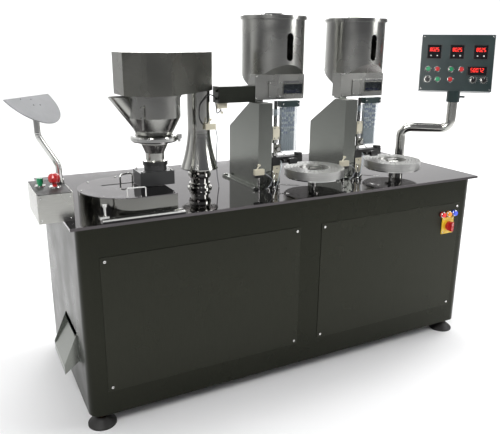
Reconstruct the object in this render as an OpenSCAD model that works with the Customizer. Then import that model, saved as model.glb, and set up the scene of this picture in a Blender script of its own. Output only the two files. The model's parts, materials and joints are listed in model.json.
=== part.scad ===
// Semi-automatic capsule filling machine: a mirror-topped cabinet that carries two capsule
// loaders over ring turntables, a swinging powder filling head and a control console.
// Units are millimetres, +Z is up, and the machine stands on z = 0.

/* [Cabinet] */
// Length of the work top
table_l = 1900; // [1800:10:2300]
// Depth of the work top
table_w = 838; // [800:2:1000]
// Height of the work top above the floor
table_h = 810; // [760:5:980]
// Thickness of the work top
table_t = 11; // [8:1:14]
// How far the work top stands past the cabinet at each end
top_overhang = 22; // [15:1:40]
// How far the work top stands past the cabinet front
front_overhang = 10; // [8:1:20]
// How far the work top stands past the cabinet back
back_overhang = 48; // [20:1:70]
// Radius of the cabinet's vertical corners
corner_r = 45; // [25:1:60]
// Sheet thickness of the cabinet
wall = 3; // [2:0.5:4]
// Gap between the floor and the cabinet's underside
ground_gap = 61; // [55:1:90]

/* [Front panels] */
// Width of the left service panel
left_panel_w = 820; // [700:10:840]
// Width of the right service panel
right_panel_w = 792; // [700:4:800]
// Height of the service panels
panel_h = 530; // [450:10:560]
// Edge of the cabinet to the edge of a service panel
panel_inset = 70; // [60:1:90]
// Top of a service panel below the work top's face
panel_drop = 122; // [100:1:140]

/* [Feet] */
// Radius of a foot pad where it meets the floor
foot_r = 54; // [35:1:60]
// Height of a foot pad
foot_h = 34; // [25:1:40]

/* [Turntables] */
// Centre of the first turntable from the left end of the work top
ring_x = 1087; // [1060:1:1120]
// Centre of the turntables from the front edge of the work top
ring_y = 188; // [175:1:200]
// Distance between the two loader stations
station_pitch = 439; // [430:1:500]
// Outer radius of a capsule ring
ring_r = 131; // [120:1:140]
// Inner radius of a capsule ring
ring_bore_r = 66; // [60:1:68]
// Thickness of a capsule ring pair
ring_t = 35; // [28:1:40]
// Underside of a capsule ring above the work top
ring_z = 43; // [36:1:50]
// Radius of a capsule pocket
pocket_r = 3.8; // [3:0.1:4.2]
// Number of radial rows of pockets
pocket_rows = 32; // [24:1:36]
// Number of pockets in a radial row
row_pockets = 4; // [3:1:5]
// Radius of a turntable spindle
spindle_r = 10; // [8:0.5:14]

/* [Loaders] */
// Radius of a capsule hopper
hopper_r = 136; // [110:1:140]
// Height of a capsule hopper's drum
hopper_h = 236; // [200:2:300]
// Top of a loader column above the work top
column_h = 358; // [340:2:400]
// Depth of a loader column from front to back
column_d = 280; // [260:2:300]
// Width of a loader column
column_w = 64; // [56:1:72]
// Length of a capsule magazine
magazine_h = 190; // [170:1:200]
// Width of a capsule magazine
magazine_w = 78; // [72:1:90]
// Depth of a capsule magazine
magazine_d = 24; // [20:1:30]
// Number of capsule channels in a magazine
channels = 6; // [4:1:7]
// Stroke of a magazine
magazine_stroke = 18; // [12:1:20]
// Stroke of a pusher
pusher_stroke = 14; // [8:1:16]

/* [Filling station] */
// Outer radius of the filling housing's round end
housing_r = 183; // [170:1:190]
// Height of the filling housing
housing_h = 68; // [60:1:75]
// Centre of the filling housing's round end from the left end of the work top
housing_x = 263; // [255:1:280]
// Centre of the filling housing from the front edge of the work top
housing_y = 232; // [225:1:240]
// Axis of the powder hopper from the left end of the work top
powder_x = 378; // [372:1:384]
// Axis of the powder hopper from the front edge of the work top
powder_y = 232; // [226:1:238]
// Radius of the powder hopper's drum
powder_r = 102; // [95:1:108]
// Depth of the drive cover from front to back
cover_d = 270; // [264:2:280]
// Reach of the drive cover to the left of the hopper's axis
cover_reach = 128; // [124:1:134]
// Height of the drive cover
cover_h = 150; // [130:1:180]
// Underside of the drive cover above the work top
cover_z = 410; // [400:1:440]
// Centre of the pillar from the left end of the work top
pillar_x = 612; // [604:1:620]
// Centre of the pillar from the front edge of the work top
pillar_y = 352; // [345:1:360]
// Radius of the pillar's straight neck
pillar_r = 47; // [40:1:50]
// Radius of the pillar's flared foot
pillar_foot_r = 78; // [70:1:84]

/* [Operator box] */
// Width of the operator box
box_w = 118; // [110:1:130]
// Depth of the operator box
box_d = 230; // [200:2:250]
// Height of the operator box
box_h = 100; // [85:1:120]
// Radius of the half-round plate
shield_r = 128; // [115:1:140]
// Tilt of the half-round plate towards the front
shield_tilt = 42; // [25:1:50]
// Height of the half-round plate above the work top, over its pivot
shield_z = 379; // [365:1:395]

/* [Control console] */
// Width of the console
console_w = 346; // [320:2:380]
// Height of the console
console_h = 276; // [260:2:300]
// Depth of the console
console_d = 56; // [48:1:70]
// Turn of the console towards the operator
console_yaw = 40; // [20:1:50]
// Backward lean of the console's face
console_lean = 12; // [6:1:15]
// Length of the post's level run
post_run = 240; // [220:2:280]
// Radius of the post
post_r = 25; // [20:0.5:28]

/* [Hidden] */
$fn = 64;
small = 24;                 // segments of small round pieces
eps = 0.01;
fit = 0.05;                 // radial clearance of a running shaft
gap = 0.5;                  // clearance between a moving piece and its neighbour
bend_steps = 3;             // straight pieces in a bend of a thin tube
bend_swell = 0.3;           // how much fuller a thin tube is where it bends

cab_x0 = top_overhang;
cab_x1 = table_l - top_overhang;
cab_y0 = front_overhang;
cab_y1 = table_w - back_overhang;
cab_top = table_h - table_t;

// extreme pieces that set the middle of the machine
shield_yaw = 49;
shield_t = 3;
shield_drop = 0.4 * shield_r;
shield_lift = 14;
shield_holes = [[-45, -7], [5, -14], [-10, -40], [24, -44]];
arm_r = 11;
box_x1 = 36;
box_x0 = box_x1 - box_w;
box_y1 = 322;
box_y0 = box_y1 - box_d;
arm_x = box_x1 - 15;
arm_y = box_y1 - 72;
arm_lean = 60;
shield_x = arm_x - arm_lean;
post_x = table_l - 110;
post_y = 431;
console_x = post_x + post_run * cos(console_yaw);
console_y = post_y - post_run * sin(console_yaw);

x_low = shield_x - shield_r * cos(shield_yaw)
      - (shield_drop * cos(shield_tilt) - (shield_lift - shield_t / 2) * sin(shield_tilt)) * sin(shield_yaw);
x_high = console_x + console_w / 2 * cos(console_yaw)
       + (console_d / 2 * cos(console_lean) + console_h * sin(console_lean)) * sin(console_yaw);
switch_reach = 36;
y_low = cab_y0 - panel_skin() - switch_reach;
y_high = table_w;
mid_x = (x_low + x_high) / 2;
mid_y = (y_low + y_high) / 2;

function panel_skin() = 2;

// ---------------------------------------------------------------- placing

// places children, drawn from the work top's front left corner on the floor, in the machine
module placed() {
    translate([-mid_x, -mid_y, 0]) children();
}

// the same, with z = 0 at the work top's upper face
module on_top() {
    placed() translate([0, 0, table_h]) children();
}

// puts children in the console's own frame: x right, z up, y = 0 at the face, -y outwards
module in_console() {
    on_top() translate([console_x, console_y, console_bottom]) rotate([0, 0, -console_yaw])
        rotate([-console_lean, 0, 0]) translate([0, -console_d / 2, console_h / 2]) children();
}

// ---------------------------------------------------------------- shapes

// a block between two corners
module block(a, b) {
    translate(a) cube(b - a);
}

// an upright block with rounded vertical corners
module rounded_block(a, b, r) {
    translate([0, 0, a.z]) linear_extrude(b.z - a.z) {
        translate([a.x + r, a.y]) square([b.x - a.x - 2 * r, b.y - a.y]);
        translate([a.x, a.y + r]) square([b.x - a.x, b.y - a.y - 2 * r]);
        for (x = [a.x + r, b.x - r], y = [a.y + r, b.y - r]) translate([x, y]) circle(r);
    }
}

// a cylinder from one height to another
module post(x, y, z0, z1, r, n = $fn) {
    translate([x, y, z0]) cylinder(r = r, h = z1 - z0, $fn = n);
}

// a cylinder that points to the front, towards -y
module stud_y(x, y0, y1, z, r, n = small) {
    translate([x, y1, z]) rotate([90, 0, 0]) cylinder(r = r, h = y1 - y0, $fn = n);
}

// a tube through points [x, z] in the plane y = 0, with a slightly fuller ball at each bend
module bent_tube(points, r) {
    for (k = [0 : len(points) - 2]) {
        d = points[k + 1] - points[k];
        translate([points[k].x, 0, points[k].y]) rotate([0, atan2(d.x, d.y), 0]) cylinder(r = r, h = norm(d));
    }
    for (k = [1 : len(points) - 2]) translate([points[k].x, 0, points[k].y]) sphere(r + bend_swell);
}

// a hollow square bar along z
module bar_z(x, y, z0, z1, w, t) {
    translate([x, y, z0]) linear_extrude(z1 - z0) difference() {
        square(w, center = true);
        square(w - 2 * t, center = true);
    }
}

// ---------------------------------------------------------------- cabinet

frame_w = 40;
frame_t = 3;
foot_inset = 50;
frame_x = [cab_x0 + foot_inset, cab_x1 - foot_inset];
frame_y = [cab_y0 + foot_inset, cab_y1 - foot_inset];
frame_z0 = ground_gap + wall;
foot_x = frame_x;
foot_y = frame_y;

panel_z1 = table_h - panel_drop;
panel_z0 = panel_z1 - panel_h;
left_panel_x0 = cab_x0 + panel_inset;
right_panel_x0 = cab_x1 - panel_inset - right_panel_w;
panel_spans = [[left_panel_x0, left_panel_x0 + left_panel_w],
               [right_panel_x0, right_panel_x0 + right_panel_w]];
screw_inset = 16;
screw_r = 3;
window_lap = 28;

chute_y0 = cab_y0 + 160;
chute_y1 = chute_y0 + 220;
chute_top = table_h - 469;
chute_slot = 36;

module panel_screw_places() {
    for (s = panel_spans, x = [s[0] + screw_inset, s[1] - screw_inset],
         z = [panel_z0 + screw_inset, panel_z1 - screw_inset])
        translate([x, cab_y0, z]) rotate([90, 0, 0]) children();
}

module base_frame() {
    color("dimgray") placed() {
        for (x = frame_x, y = frame_y) bar_z(x, y, frame_z0, cab_top, frame_w, frame_t);
        for (z = [frame_z0 + frame_w / 2, cab_top - frame_w / 2]) {
            for (y = frame_y) translate([frame_x[0] + frame_w / 2, y, z]) rotate([0, 90, 0])
                bar_z(0, 0, 0, frame_x[1] - frame_x[0] - frame_w, frame_w, frame_t);
            for (x = frame_x) translate([x, frame_y[1] - frame_w / 2, z]) rotate([90, 0, 0])
                bar_z(0, 0, 0, frame_y[1] - frame_y[0] - frame_w, frame_w, frame_t);
        }
    }
}

module cabinet_shell() {
    color("dimgray") placed() difference() {
        rounded_block([cab_x0, cab_y0, ground_gap], [cab_x1, cab_y1, cab_top], corner_r);
        rounded_block([cab_x0 + wall, cab_y0 + wall, ground_gap + wall],
                      [cab_x1 - wall, cab_y1 - wall, cab_top + 1], corner_r - wall);
        for (s = panel_spans)
            block([s[0] + window_lap, cab_y0 - 1, panel_z0 + window_lap],
                  [s[1] - window_lap, cab_y0 + wall + 1, panel_z1 - window_lap]);
        block([cab_x0 - 1, chute_y0, chute_top - chute_slot],
              [cab_x0 + wall + 1, chute_y1, chute_top]);
        panel_screw_places() translate([0, 0, -wall - 1])
            cylinder(r = screw_r + 0.3, h = wall + 2, $fn = small);
        for (x = foot_x, y = foot_y) post(x, y, ground_gap - 1, ground_gap + wall + 1, stem_r + 0.5);
        switch_holes();
    }
}

module table_top() {
    color("silver") placed() difference() {
        block([0, 0, cab_top], [table_l, table_w, table_h]);
        for (c = spindle_places) post(c.x, c.y, cab_top - 1, table_h + 1, spindle_r + 4);
    }
}

module front_panels() {
    color("dimgray") placed() difference() {
        for (s = panel_spans)
            block([s[0], cab_y0 - panel_skin(), panel_z0], [s[1], cab_y0, panel_z1]);
        panel_screw_places() translate([0, 0, -1])
            cylinder(r = screw_r + 0.3, h = panel_skin() + 2, $fn = small);
        switch_holes();
    }
}

module panel_screws() {
    head_r = 5.5;
    head_h = 2.6;
    color("silver") placed() panel_screw_places() {
        translate([0, 0, -wall - 6]) cylinder(r = screw_r, h = wall + 6 + panel_skin() + eps, $fn = small);
        translate([0, 0, panel_skin()]) difference() {
            cylinder(r = head_r, h = head_h, $fn = small);
            translate([-head_r, -0.6, head_h - 1.2]) cube([2 * head_r, 1.2, 2]);
        }
    }
}

stem_r = 8;

module levelling_feet() {
    nut_h = 12;
    nut_r = 17;
    color("dimgray") placed() for (x = foot_x, y = foot_y) translate([x, y, 0]) {
        rotate_extrude() polygon([[0, 0], [foot_r, 0], [foot_r, 7], [foot_r - 5, 12],
                                  [foot_r * 0.55, foot_h - 6], [foot_r * 0.42, foot_h], [0, foot_h]]);
        post(0, 0, foot_h, ground_gap + wall + 24, stem_r, small);
        difference() {
            post(0, 0, ground_gap - nut_h, ground_gap, nut_r, 6);
            post(0, 0, 0, ground_gap + 1, stem_r + fit, small);
        }
    }
}

// ---------------------------------------------------------------- main switch and lamps

switch_x = cab_x1 - 138;
switch_z = table_h - 227;
switch_plate = [72, 80];
switch_shaft_r = 5;
lamp_z = table_h - 171;
lamp_x = [switch_x - 37, switch_x, switch_x + 37];
lamp_r = 11;
face_y = cab_y0 - panel_skin();

module switch_holes() {
    stud_y(switch_x, cab_y0 - 20, cab_y0 + 20, switch_z, switch_shaft_r + 2);
    for (x = lamp_x) stud_y(x, cab_y0 - 20, cab_y0 + 20, lamp_z, lamp_r - 3 + 0.5);
}

module main_switch_plate() {
    color("gold") placed() difference() {
        union() {
            block([switch_x - switch_plate.x / 2, face_y - 4, switch_z - switch_plate.y / 2],
                  [switch_x + switch_plate.x / 2, face_y, switch_z + switch_plate.y / 2]);
            stud_y(switch_x, face_y - 10, face_y - 4, switch_z, 27, 64);
        }
        stud_y(switch_x, face_y - 20, face_y + 20, switch_z, switch_shaft_r + fit);
    }
}

module main_switch_knob() {
    knob_r = 22;
    color("red") placed() {
        stud_y(switch_x, face_y - switch_reach + 14, face_y - 10.5, switch_z, knob_r, 64);
        block([switch_x - 7, face_y - switch_reach, switch_z - knob_r],
              [switch_x + 7, face_y - switch_reach + 14, switch_z + knob_r]);
        stud_y(switch_x, face_y - 11, cab_y0 + wall + 30, switch_z, switch_shaft_r);
    }
}

module pilot_lamps() {
    color("orange") placed() for (x = lamp_x) {
        stud_y(x, face_y - 5, face_y, lamp_z, lamp_r + 3, 48);
        stud_y(x, face_y - 15, face_y - 5, lamp_z, lamp_r, 48);
        stud_y(x, face_y, cab_y0 + wall + 28, lamp_z, lamp_r - 3);
    }
}

// ---------------------------------------------------------------- discharge chute

module discharge_chute() {
    reach = 55;
    drop = 100;
    sheet = 2.5;
    lip = 28;
    z1 = chute_top - chute_slot;
    xo = cab_x0 - reach;
    color("silver") placed() {
        translate([0, chute_y1, 0]) rotate([90, 0, 0]) linear_extrude(chute_y1 - chute_y0)
            polygon([[cab_x0, z1], [xo, z1 - drop], [xo, z1 - drop - lip], [xo + sheet, z1 - drop - lip],
                     [xo + sheet, z1 - drop - sheet], [cab_x0, z1 - 2 * sheet]]);
        for (y = [chute_y0 + sheet, chute_y1]) translate([0, y, 0]) rotate([90, 0, 0]) linear_extrude(sheet)
            polygon([[cab_x0, chute_top], [cab_x0, z1 - drop + 15],
                     [xo, z1 - drop - lip], [xo, z1 - drop + 12]]);
    }
}

// ---------------------------------------------------------------- operator box

button_x = [box_x0 + 32, box_x0 + 76];
button_y = [box_y0 + 138, box_y0 + 102];
button_stem_r = 8;
button_travel = 5;

module operator_box() {
    sheet = 2;
    bush_h = 16;
    color("silver") on_top() difference() {
        union() {
            difference() {
                block([box_x0, box_y0, 0], [box_x1, box_y1, box_h]);
                block([box_x0 + sheet, box_y0 + sheet, sheet],
                      [box_x1 - sheet, box_y1 - sheet, box_h - sheet]);
            }
            post(button_x[0], button_y[0], box_h - eps, box_h + 3, 15, 48);
            post(button_x[1], button_y[1], box_h - eps, box_h + 5, 17, 48);
            post(arm_x, arm_y, box_h - 40, box_h + bush_h, arm_r + 4, 48);
        }
        for (i = [0, 1]) post(button_x[i], button_y[i], box_h - 10, box_h + 20, button_stem_r + 0.4, small);
        post(arm_x, arm_y, box_h - 30, box_h + bush_h + 1, arm_r + fit, 48);
    }
}

module start_button() {
    color("green") on_top() translate([button_x[0], button_y[0], box_h]) {
        post(0, 0, -14, 4 + button_travel, button_stem_r, small);
        post(0, 0, 3.5 + button_travel, 25 + button_travel, 11, 48);
    }
}

module stop_button() {
    stem = 12 + button_travel;
    color("red") on_top() translate([button_x[1], button_y[1], box_h]) {
        post(0, 0, -14, stem, button_stem_r, small);
        translate([0, 0, stem - eps]) rotate_extrude()
            polygon([[0, 0], [15, 0], [20, 6], [21, 20], [17, 29], [9, 33], [0, 33]]);
    }
}

pin_r = 4;
ear_t = 6;
ear_gap = 26;
shield_boss_r = 9;

// the arm's tube: up, over to the left and up again
arm_bend_r = 50;
arm_bend = 29;
arm_rise = 54;

module shield_arm() {
    s = sin(arm_bend);
    c = cos(arm_bend);
    lean_l = (arm_lean - 2 * arm_bend_r * (1 - c)) / s;
    z1 = box_h + arm_rise;
    z2 = z1 + 2 * arm_bend_r * s + lean_l * c;
    color("silver") on_top() {
        translate([arm_x, arm_y, 0]) bent_tube(concat(
            [[0, box_h - 29]],
            [for (k = [0 : bend_steps]) let (a = arm_bend * k / bend_steps)
                [-arm_bend_r * (1 - cos(a)), z1 + arm_bend_r * sin(a)]],
            [for (k = [bend_steps : -1 : 0]) let (a = arm_bend * k / bend_steps)
                [-arm_lean + arm_bend_r * (1 - cos(a)), z2 - arm_bend_r * sin(a)]],
            [[-arm_lean, shield_z - shield_lift - 12]]), arm_r);
        translate([shield_x, arm_y, shield_z - shield_lift]) rotate([0, 0, shield_yaw]) {
            block([-ear_gap / 2 - ear_t, -10, -18], [ear_gap / 2 + ear_t, 10, -12]);
            for (x = [-ear_gap / 2 - ear_t, ear_gap / 2])
                block([x, -8, -13], [x + ear_t, 8, 7]);
            translate([-ear_gap / 2 - ear_t - 3, 0, 0]) rotate([0, 90, 0])
                cylinder(r = pin_r, h = ear_gap + 2 * ear_t + 6, $fn = small);
        }
    }
}

module shield_plate() {
    color("gainsboro") on_top() translate([shield_x, arm_y, shield_z - shield_lift])
        rotate([0, 0, shield_yaw]) rotate([shield_tilt, 0, 0]) difference() {
            union() {
                translate([0, shield_drop, shield_lift - shield_t / 2]) difference() {
                    cylinder(r = shield_r, h = shield_t, $fn = 96);
                    translate([-shield_r - 1, 0, -1]) cube([2 * shield_r + 2, shield_r + 1, shield_t + 2]);
                    for (p = shield_holes) translate([p.x, p.y, -1])
                        cylinder(r = 3, h = shield_t + 2, $fn = small);
                }
                translate([-ear_gap / 2 + gap, 0, 0]) rotate([0, 90, 0])
                    cylinder(r = shield_boss_r, h = ear_gap - 2 * gap, $fn = 48);
                block([-ear_gap / 2 + gap, -6, 0], [ear_gap / 2 - gap, 6, shield_lift - shield_t / 2 + eps]);
            }
            translate([-ear_gap, 0, 0]) rotate([0, 90, 0])
                cylinder(r = pin_r + fit, h = 2 * ear_gap, $fn = small);
        }
}

// ---------------------------------------------------------------- filling station

housing_x1 = housing_x + ring_r + 6;
housing_wall = 3;
cover_t = 3;

// the housing's outline: a round left end and a square right end
module housing_outline(r, x1) {
    translate([housing_x, housing_y]) difference() {
        union() {
            circle(r, $fn = 96);
            translate([0, -r]) square([x1 - housing_x, 2 * r]);
        }
        translate([x1 - housing_x, -r - 1]) square([r, 2 * r + 2]);
    }
}

module filling_housing() {
    color("dimgray") on_top() difference() {
        linear_extrude(housing_h - cover_t) housing_outline(housing_r, housing_x1);
        translate([0, 0, -1]) linear_extrude(housing_h + 2)
            housing_outline(housing_r - housing_wall, housing_x1 + 1);
    }
}

module filling_cover() {
    pocket_w = 88;
    pocket_l = 130;
    px0 = housing_x - 88;
    py0 = housing_y - 34;
    color("silver") on_top() difference() {
        translate([0, 0, housing_h - cover_t]) linear_extrude(cover_t) housing_outline(housing_r, housing_x1);
        translate([0, 0, housing_h - 1.5]) linear_extrude(3)
            polygon([[px0 + 14, py0], [px0 + pocket_l, py0],
                     [px0 + pocket_l, py0 + pocket_w], [px0, py0 + pocket_w]]);
        post(powder_x, powder_y, 0, housing_h + 1, throat_bore + 4);
    }
}

module filling_turntable() {
    color("silver") on_top() translate([housing_x, housing_y, 0]) {
        post(0, 0, 12, 18, ring_r - 8, 96);
        post(0, 0, 18, 44, ring_bore_r - 4, 64);
        post(0, 0, -table_t - spindle_drop, 12, spindle_r, 48);
    }
}

module ring_rail() {
    x0 = housing_x - 150;
    x1 = housing_x + 152;
    y0 = housing_y - housing_r - 36;
    y1 = housing_y - housing_r - 3;
    color("silver") on_top() {
        difference() {
            block([x0, y0, 0], [x1, y1, 10]);
            block([x0 + 30, y0 + 6, 4], [x1 + 1, y1 - 6, 11]);
        }
        post(x0 + 14, y1 - 12, 10, 52, 5, small);
        post(x0 + 14, y1 - 12, 52, 60, 9, small);
        block([x0 - 6, y1 - 24, 10], [x0 + 26, y1 - 3, 20]);
    }
}

// the pillar's flare, from its foot up to the straight neck
flare_z0 = 90;
flare_z1 = 250;
flare_steps = 12;
spigot_r = 20;
bush_h = 36;

function flare(i) = let (t = i / flare_steps)
    [pillar_r + (pillar_foot_r - pillar_r) * pow(1 - t, 1.7), flare_z0 + (flare_z1 - flare_z0) * t];

module pillar() {
    color("silver") on_top() translate([pillar_x, pillar_y, 0]) difference() {
        rotate_extrude() polygon(concat(
            [[0, 0], [52, 0], [52, 7], [40, 7], [40, 16], [45, 16], [45, 24], [38, 24], [38, 44],
             [44, 47], [48, 54], [48, 66], [44, 73], [40, 76], [40, 82], [pillar_foot_r, 86]],
            [for (i = [0 : flare_steps]) flare(i)],
            [[pillar_r, cover_z - gap], [spigot_r, cover_z - gap],
             [spigot_r, cover_z + bush_h], [0, cover_z + bush_h]]));
        post(0, 0, flare_z0 + 20, cover_z - 14, pillar_r - 6);
    }
}

plate_t = 8;
cover_end_r = 58;
cover_sheet = 2;
cover_chamfer = 66.5;
cover_shoulder = 28;

// the drive cover's outline: a chamfered end over the hopper joined to a round end over the pillar
function touch(p, r, side) = let (c = [pillar_x, pillar_y], d = norm(c - p),
    a = atan2(p.y - c.y, p.x - c.x), b = acos(r / d)) c + r * [cos(a + side * b), sin(a + side * b)];

module head_outline(inset) {
    x0 = powder_x - cover_reach + inset;
    x1 = powder_x + cover_shoulder;
    w = cover_d / 2 - inset;
    c = cover_chamfer - (2 - sqrt(2)) * inset;
    end_r = cover_end_r - inset;
    front = [x1, powder_y - w];
    back = [x1, powder_y + w];
    polygon([[x0, powder_y - w + c], [x0 + c, powder_y - w], front, touch(front, end_r, 1),
             touch(back, end_r, -1), back, [x0 + c, powder_y + w], [x0, powder_y + w - c]]);
    translate([pillar_x, pillar_y]) circle(end_r);
}

module head_plate() {
    inset = 3;
    color("gray") on_top() difference() {
        union() {
            translate([0, 0, cover_z]) linear_extrude(plate_t) head_outline(inset);
            post(pillar_x, pillar_y, cover_z, cover_z + bush_h, spigot_r + 12);
        }
        post(pillar_x, pillar_y, 0, cover_z + bush_h + 1, spigot_r + fit);
        post(powder_x, powder_y, cover_z - 1, cover_z + plate_t + 1, auger_shaft_r + 4, 48);
    }
}

module head_cover() {
    color("dimgray") on_top() difference() {
        translate([0, 0, cover_z]) linear_extrude(cover_h) head_outline(0);
        translate([0, 0, cover_z - 1]) linear_extrude(cover_h - cover_sheet + 1) head_outline(cover_sheet);
    }
}

auger_shaft_r = 9;
motor_z = cover_z + plate_t;

module auger_motor() {
    color("slategray") on_top() translate([powder_x, powder_y, motor_z]) difference() {
        union() {
            block([-48, -48, 0], [48, 48, 56]);
            post(0, 0, 56, cover_h - plate_t - 14, 42, 64);
            block([42, -20, 66], [58, 20, 104]);
        }
        post(0, 0, -1, 46, auger_shaft_r + fit, 48);
    }
}

drum_z0 = 326;
cone_z0 = 252;
lip_r = 72;
lip_t = 6;
cone_r = 64;
hopper_sheet = 2;
spout_r = 34;
spout_in = [powder_x - 52, drum_z0 - 22];
spout_out = [powder_x - 136, cover_z + 4];

module spout(r) {
    d = spout_out - spout_in;
    translate([spout_in.x, powder_y, spout_in.y]) rotate([0, atan2(d.x, d.y), 0])
        cylinder(r = r, h = norm(d) + 20, $fn = 64);
}

module hopper_form(s) {
    rotate_extrude() polygon([[0, cone_z0 - s], [cone_r - s, cone_z0 - s], [cone_r - s, cone_z0],
                              [powder_r - s, drum_z0], [powder_r - s, cover_z - gap + (s > 0 ? 1 : 0)],
                              [0, cover_z - gap + (s > 0 ? 1 : 0)]]);
}

module powder_hopper() {
    color("silver") on_top() {
        difference() {
            union() {
                translate([powder_x, powder_y, 0]) hopper_form(0);
                spout(spout_r);
                post(powder_x, powder_y, cover_z - 9, cover_z - gap, powder_r + 5);
                post(powder_x, powder_y, cone_z0 - lip_t, cone_z0, lip_r);
            }
            translate([powder_x, powder_y, 0]) hopper_form(hopper_sheet);
            spout(spout_r - hopper_sheet);
            post(powder_x, powder_y, cone_z0 - lip_t - 1, cone_z0 + 1, throat_bore + 14);
            block([powder_x - 300, powder_y - 60, cover_z - 7],
                  [powder_x - powder_r - 5, powder_y + 60, cover_z + 90]);
            block([powder_x - powder_r - 6, powder_y - 60, cover_z - gap],
                  [powder_x + 60, powder_y + 60, cover_z + 90]);
        }
        translate([powder_x - 70, powder_y - 91, 0]) {
            post(0, 0, drum_z0 - 36, drum_z0 + 49, 3.5, small);
            for (z = [drum_z0 + 4, drum_z0 + 42]) stud_y(0, 0, 18, z, 3.5);
        }
    }
}

clamp_r = 91;

module hopper_clamp() {
    z0 = cone_z0 - 2 * lip_t - 5;
    z1 = cone_z0 + 5;
    color("silver") on_top() translate([powder_x, powder_y, 0]) {
        rotate_extrude() polygon([[lip_r + 0.3, z0], [clamp_r - 5, z0], [clamp_r, z0 + 5], [clamp_r, z1 - 5],
                                  [clamp_r - 5, z1], [lip_r + 0.3, z1]]);
        translate([clamp_r - 4, -9, z0 + 2]) cube([22, 18, z1 - z0 - 4]);
        post(clamp_r + 10, 0, z0 - 10, z0 + 3, 5, small);
    }
}

throat_bore = 33;
throat_r = 36;
collar_r = 46;
collar_z0 = 143;
collar_z1 = 160;

module filling_throat() {
    z1 = cone_z0 - lip_t;
    color("silver") on_top() translate([powder_x, powder_y, 0]) rotate_extrude() difference() {
        polygon([[0, collar_z0], [collar_r, collar_z0], [collar_r, collar_z1], [throat_r, collar_z1 + 3],
                 [throat_r, 190], [52, 225], [52, z1 - lip_t], [lip_r, z1 - lip_t], [lip_r, z1], [0, z1]]);
        polygon([[0, collar_z0 - 1], [throat_bore, collar_z0 - 1], [throat_bore, 190], [48, 224],
                 [48, z1 + 1], [0, z1 + 1]]);
    }
}

module dosing_shoe() {
    z0 = housing_h + 2;
    z1 = collar_z0 - 20;
    color("gray") on_top() difference() {
        union() {
            block([powder_x - 75, powder_y - 48, z0], [powder_x + 60, powder_y + 48, z1]);
            post(powder_x, powder_y, z1 - eps, collar_z0, collar_r - 3);
        }
        post(powder_x, powder_y, z0 - 1, collar_z0 + 1, throat_bore);
    }
}

module auger() {
    flight_r = throat_bore - 3;
    z0 = housing_h + 6;
    flight_h = 150;
    color("silver") on_top() translate([powder_x, powder_y, 0]) {
        post(0, 0, z0, motor_z + 44, auger_shaft_r, 48);
        translate([0, 0, z0]) linear_extrude(flight_h, twist = -360 * 3, slices = 72)
            translate([0, -2]) square([flight_r, 4]);
        for (a = [0, 180]) rotate([0, 0, a]) {
            block([0, -4, drum_z0 + 6], [powder_r - 22, 4, drum_z0 + 14]);
            block([powder_r - 30, -4, drum_z0 + 6], [powder_r - 22, 4, drum_z0 + 50]);
        }
    }
}

// ---------------------------------------------------------------- inside the cabinet

spindle_drop = 100;
function station_x(i) = ring_x + (i - 1) * station_pitch;
spindle_places = [[housing_x, housing_y], [station_x(1), ring_y], [station_x(2), ring_y]];

module turntable_drives() {
    gear_w = 96;
    gear_z1 = -table_t - 60;
    gear_z0 = gear_z1 - 86;
    color("steelblue") on_top() for (c = spindle_places) translate([c.x, c.y, 0]) difference() {
        union() {
            post(0, 0, -table_t - 10, -table_t, 50, 64);
            post(0, 0, gear_z1, -table_t - 10, 34, 64);
            block([-gear_w / 2, -gear_w / 2, gear_z0], [gear_w / 2, gear_w / 2, gear_z1]);
            stud_y(0, gear_w / 2, gear_w / 2 + 16, (gear_z0 + gear_z1) / 2, 46, 64);
            stud_y(0, gear_w / 2 + 16, gear_w / 2 + 180, (gear_z0 + gear_z1) / 2, 54, 64);
            block([-30, gear_w / 2 + 60, gear_z1 - 4], [30, gear_w / 2 + 130, gear_z1 + 22]);
        }
        post(0, 0, -table_t - spindle_drop - 4, 0, spindle_r + fit, 48);
    }
}

module electrical_plate() {
    y1 = frame_y[1] - frame_w / 2;
    x1 = frame_x[1] + frame_w / 2;
    x0 = x1 - 600;
    color("beige") placed() {
        block([x0, y1 - 3, 220], [x1, y1, 660]);
        for (i = [0 : 2]) block([x0 + 40 + i * 150, y1 - 110, 440], [x0 + 150 + i * 150, y1 - 3, 620]);
        block([x0 + 40, y1 - 12, 392], [x1 - 60, y1 - 3, 404]);
        for (i = [0 : 8]) block([x0 + 46 + i * 46, y1 - 72, 350], [x0 + 84 + i * 46, y1 - 12, 430]);
        for (i = [0 : 17]) block([x0 + 46 + i * 24, y1 - 45, 262], [x0 + 66 + i * 24, y1 - 3, 306]);
    }
}

module vacuum_pump() {
    x0 = cab_x0 + 330;
    y0 = cab_y0 + 260;
    z0 = ground_gap + wall;
    axis_z = z0 + 110;
    color("slategray") placed() {
        block([x0, y0, z0], [x0 + 420, y0 + 200, z0 + 10]);
        translate([x0 + 20, y0 + 100, axis_z]) rotate([0, 90, 0]) cylinder(r = 78, h = 200);
        block([x0 + 50, y0 + 50, z0 + 10], [x0 + 170, y0 + 150, axis_z - 50]);
        translate([x0 + 220, y0 + 100, axis_z]) rotate([0, 90, 0]) cylinder(r = 40, h = 24);
        block([x0 + 244, y0 + 30, z0 + 10], [x0 + 390, y0 + 170, z0 + 190]);
        post(x0 + 290, y0 + 100, z0 + 190, z0 + 240, 18, 48);
        post(x0 + 350, y0 + 100, z0 + 190, z0 + 225, 14, 48);
    }
}

// ---------------------------------------------------------------- capsule loaders

// a loader's own frame: its turntable's centre on the work top
column_x0 = -262;
column_x1 = column_x0 + column_w;
column_y0 = 32;
column_y1 = column_y0 + column_d;
column_shoulder = 84;
column_drop = 122;
column_sheet = 2;
foot_plate_t = 8;

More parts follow.
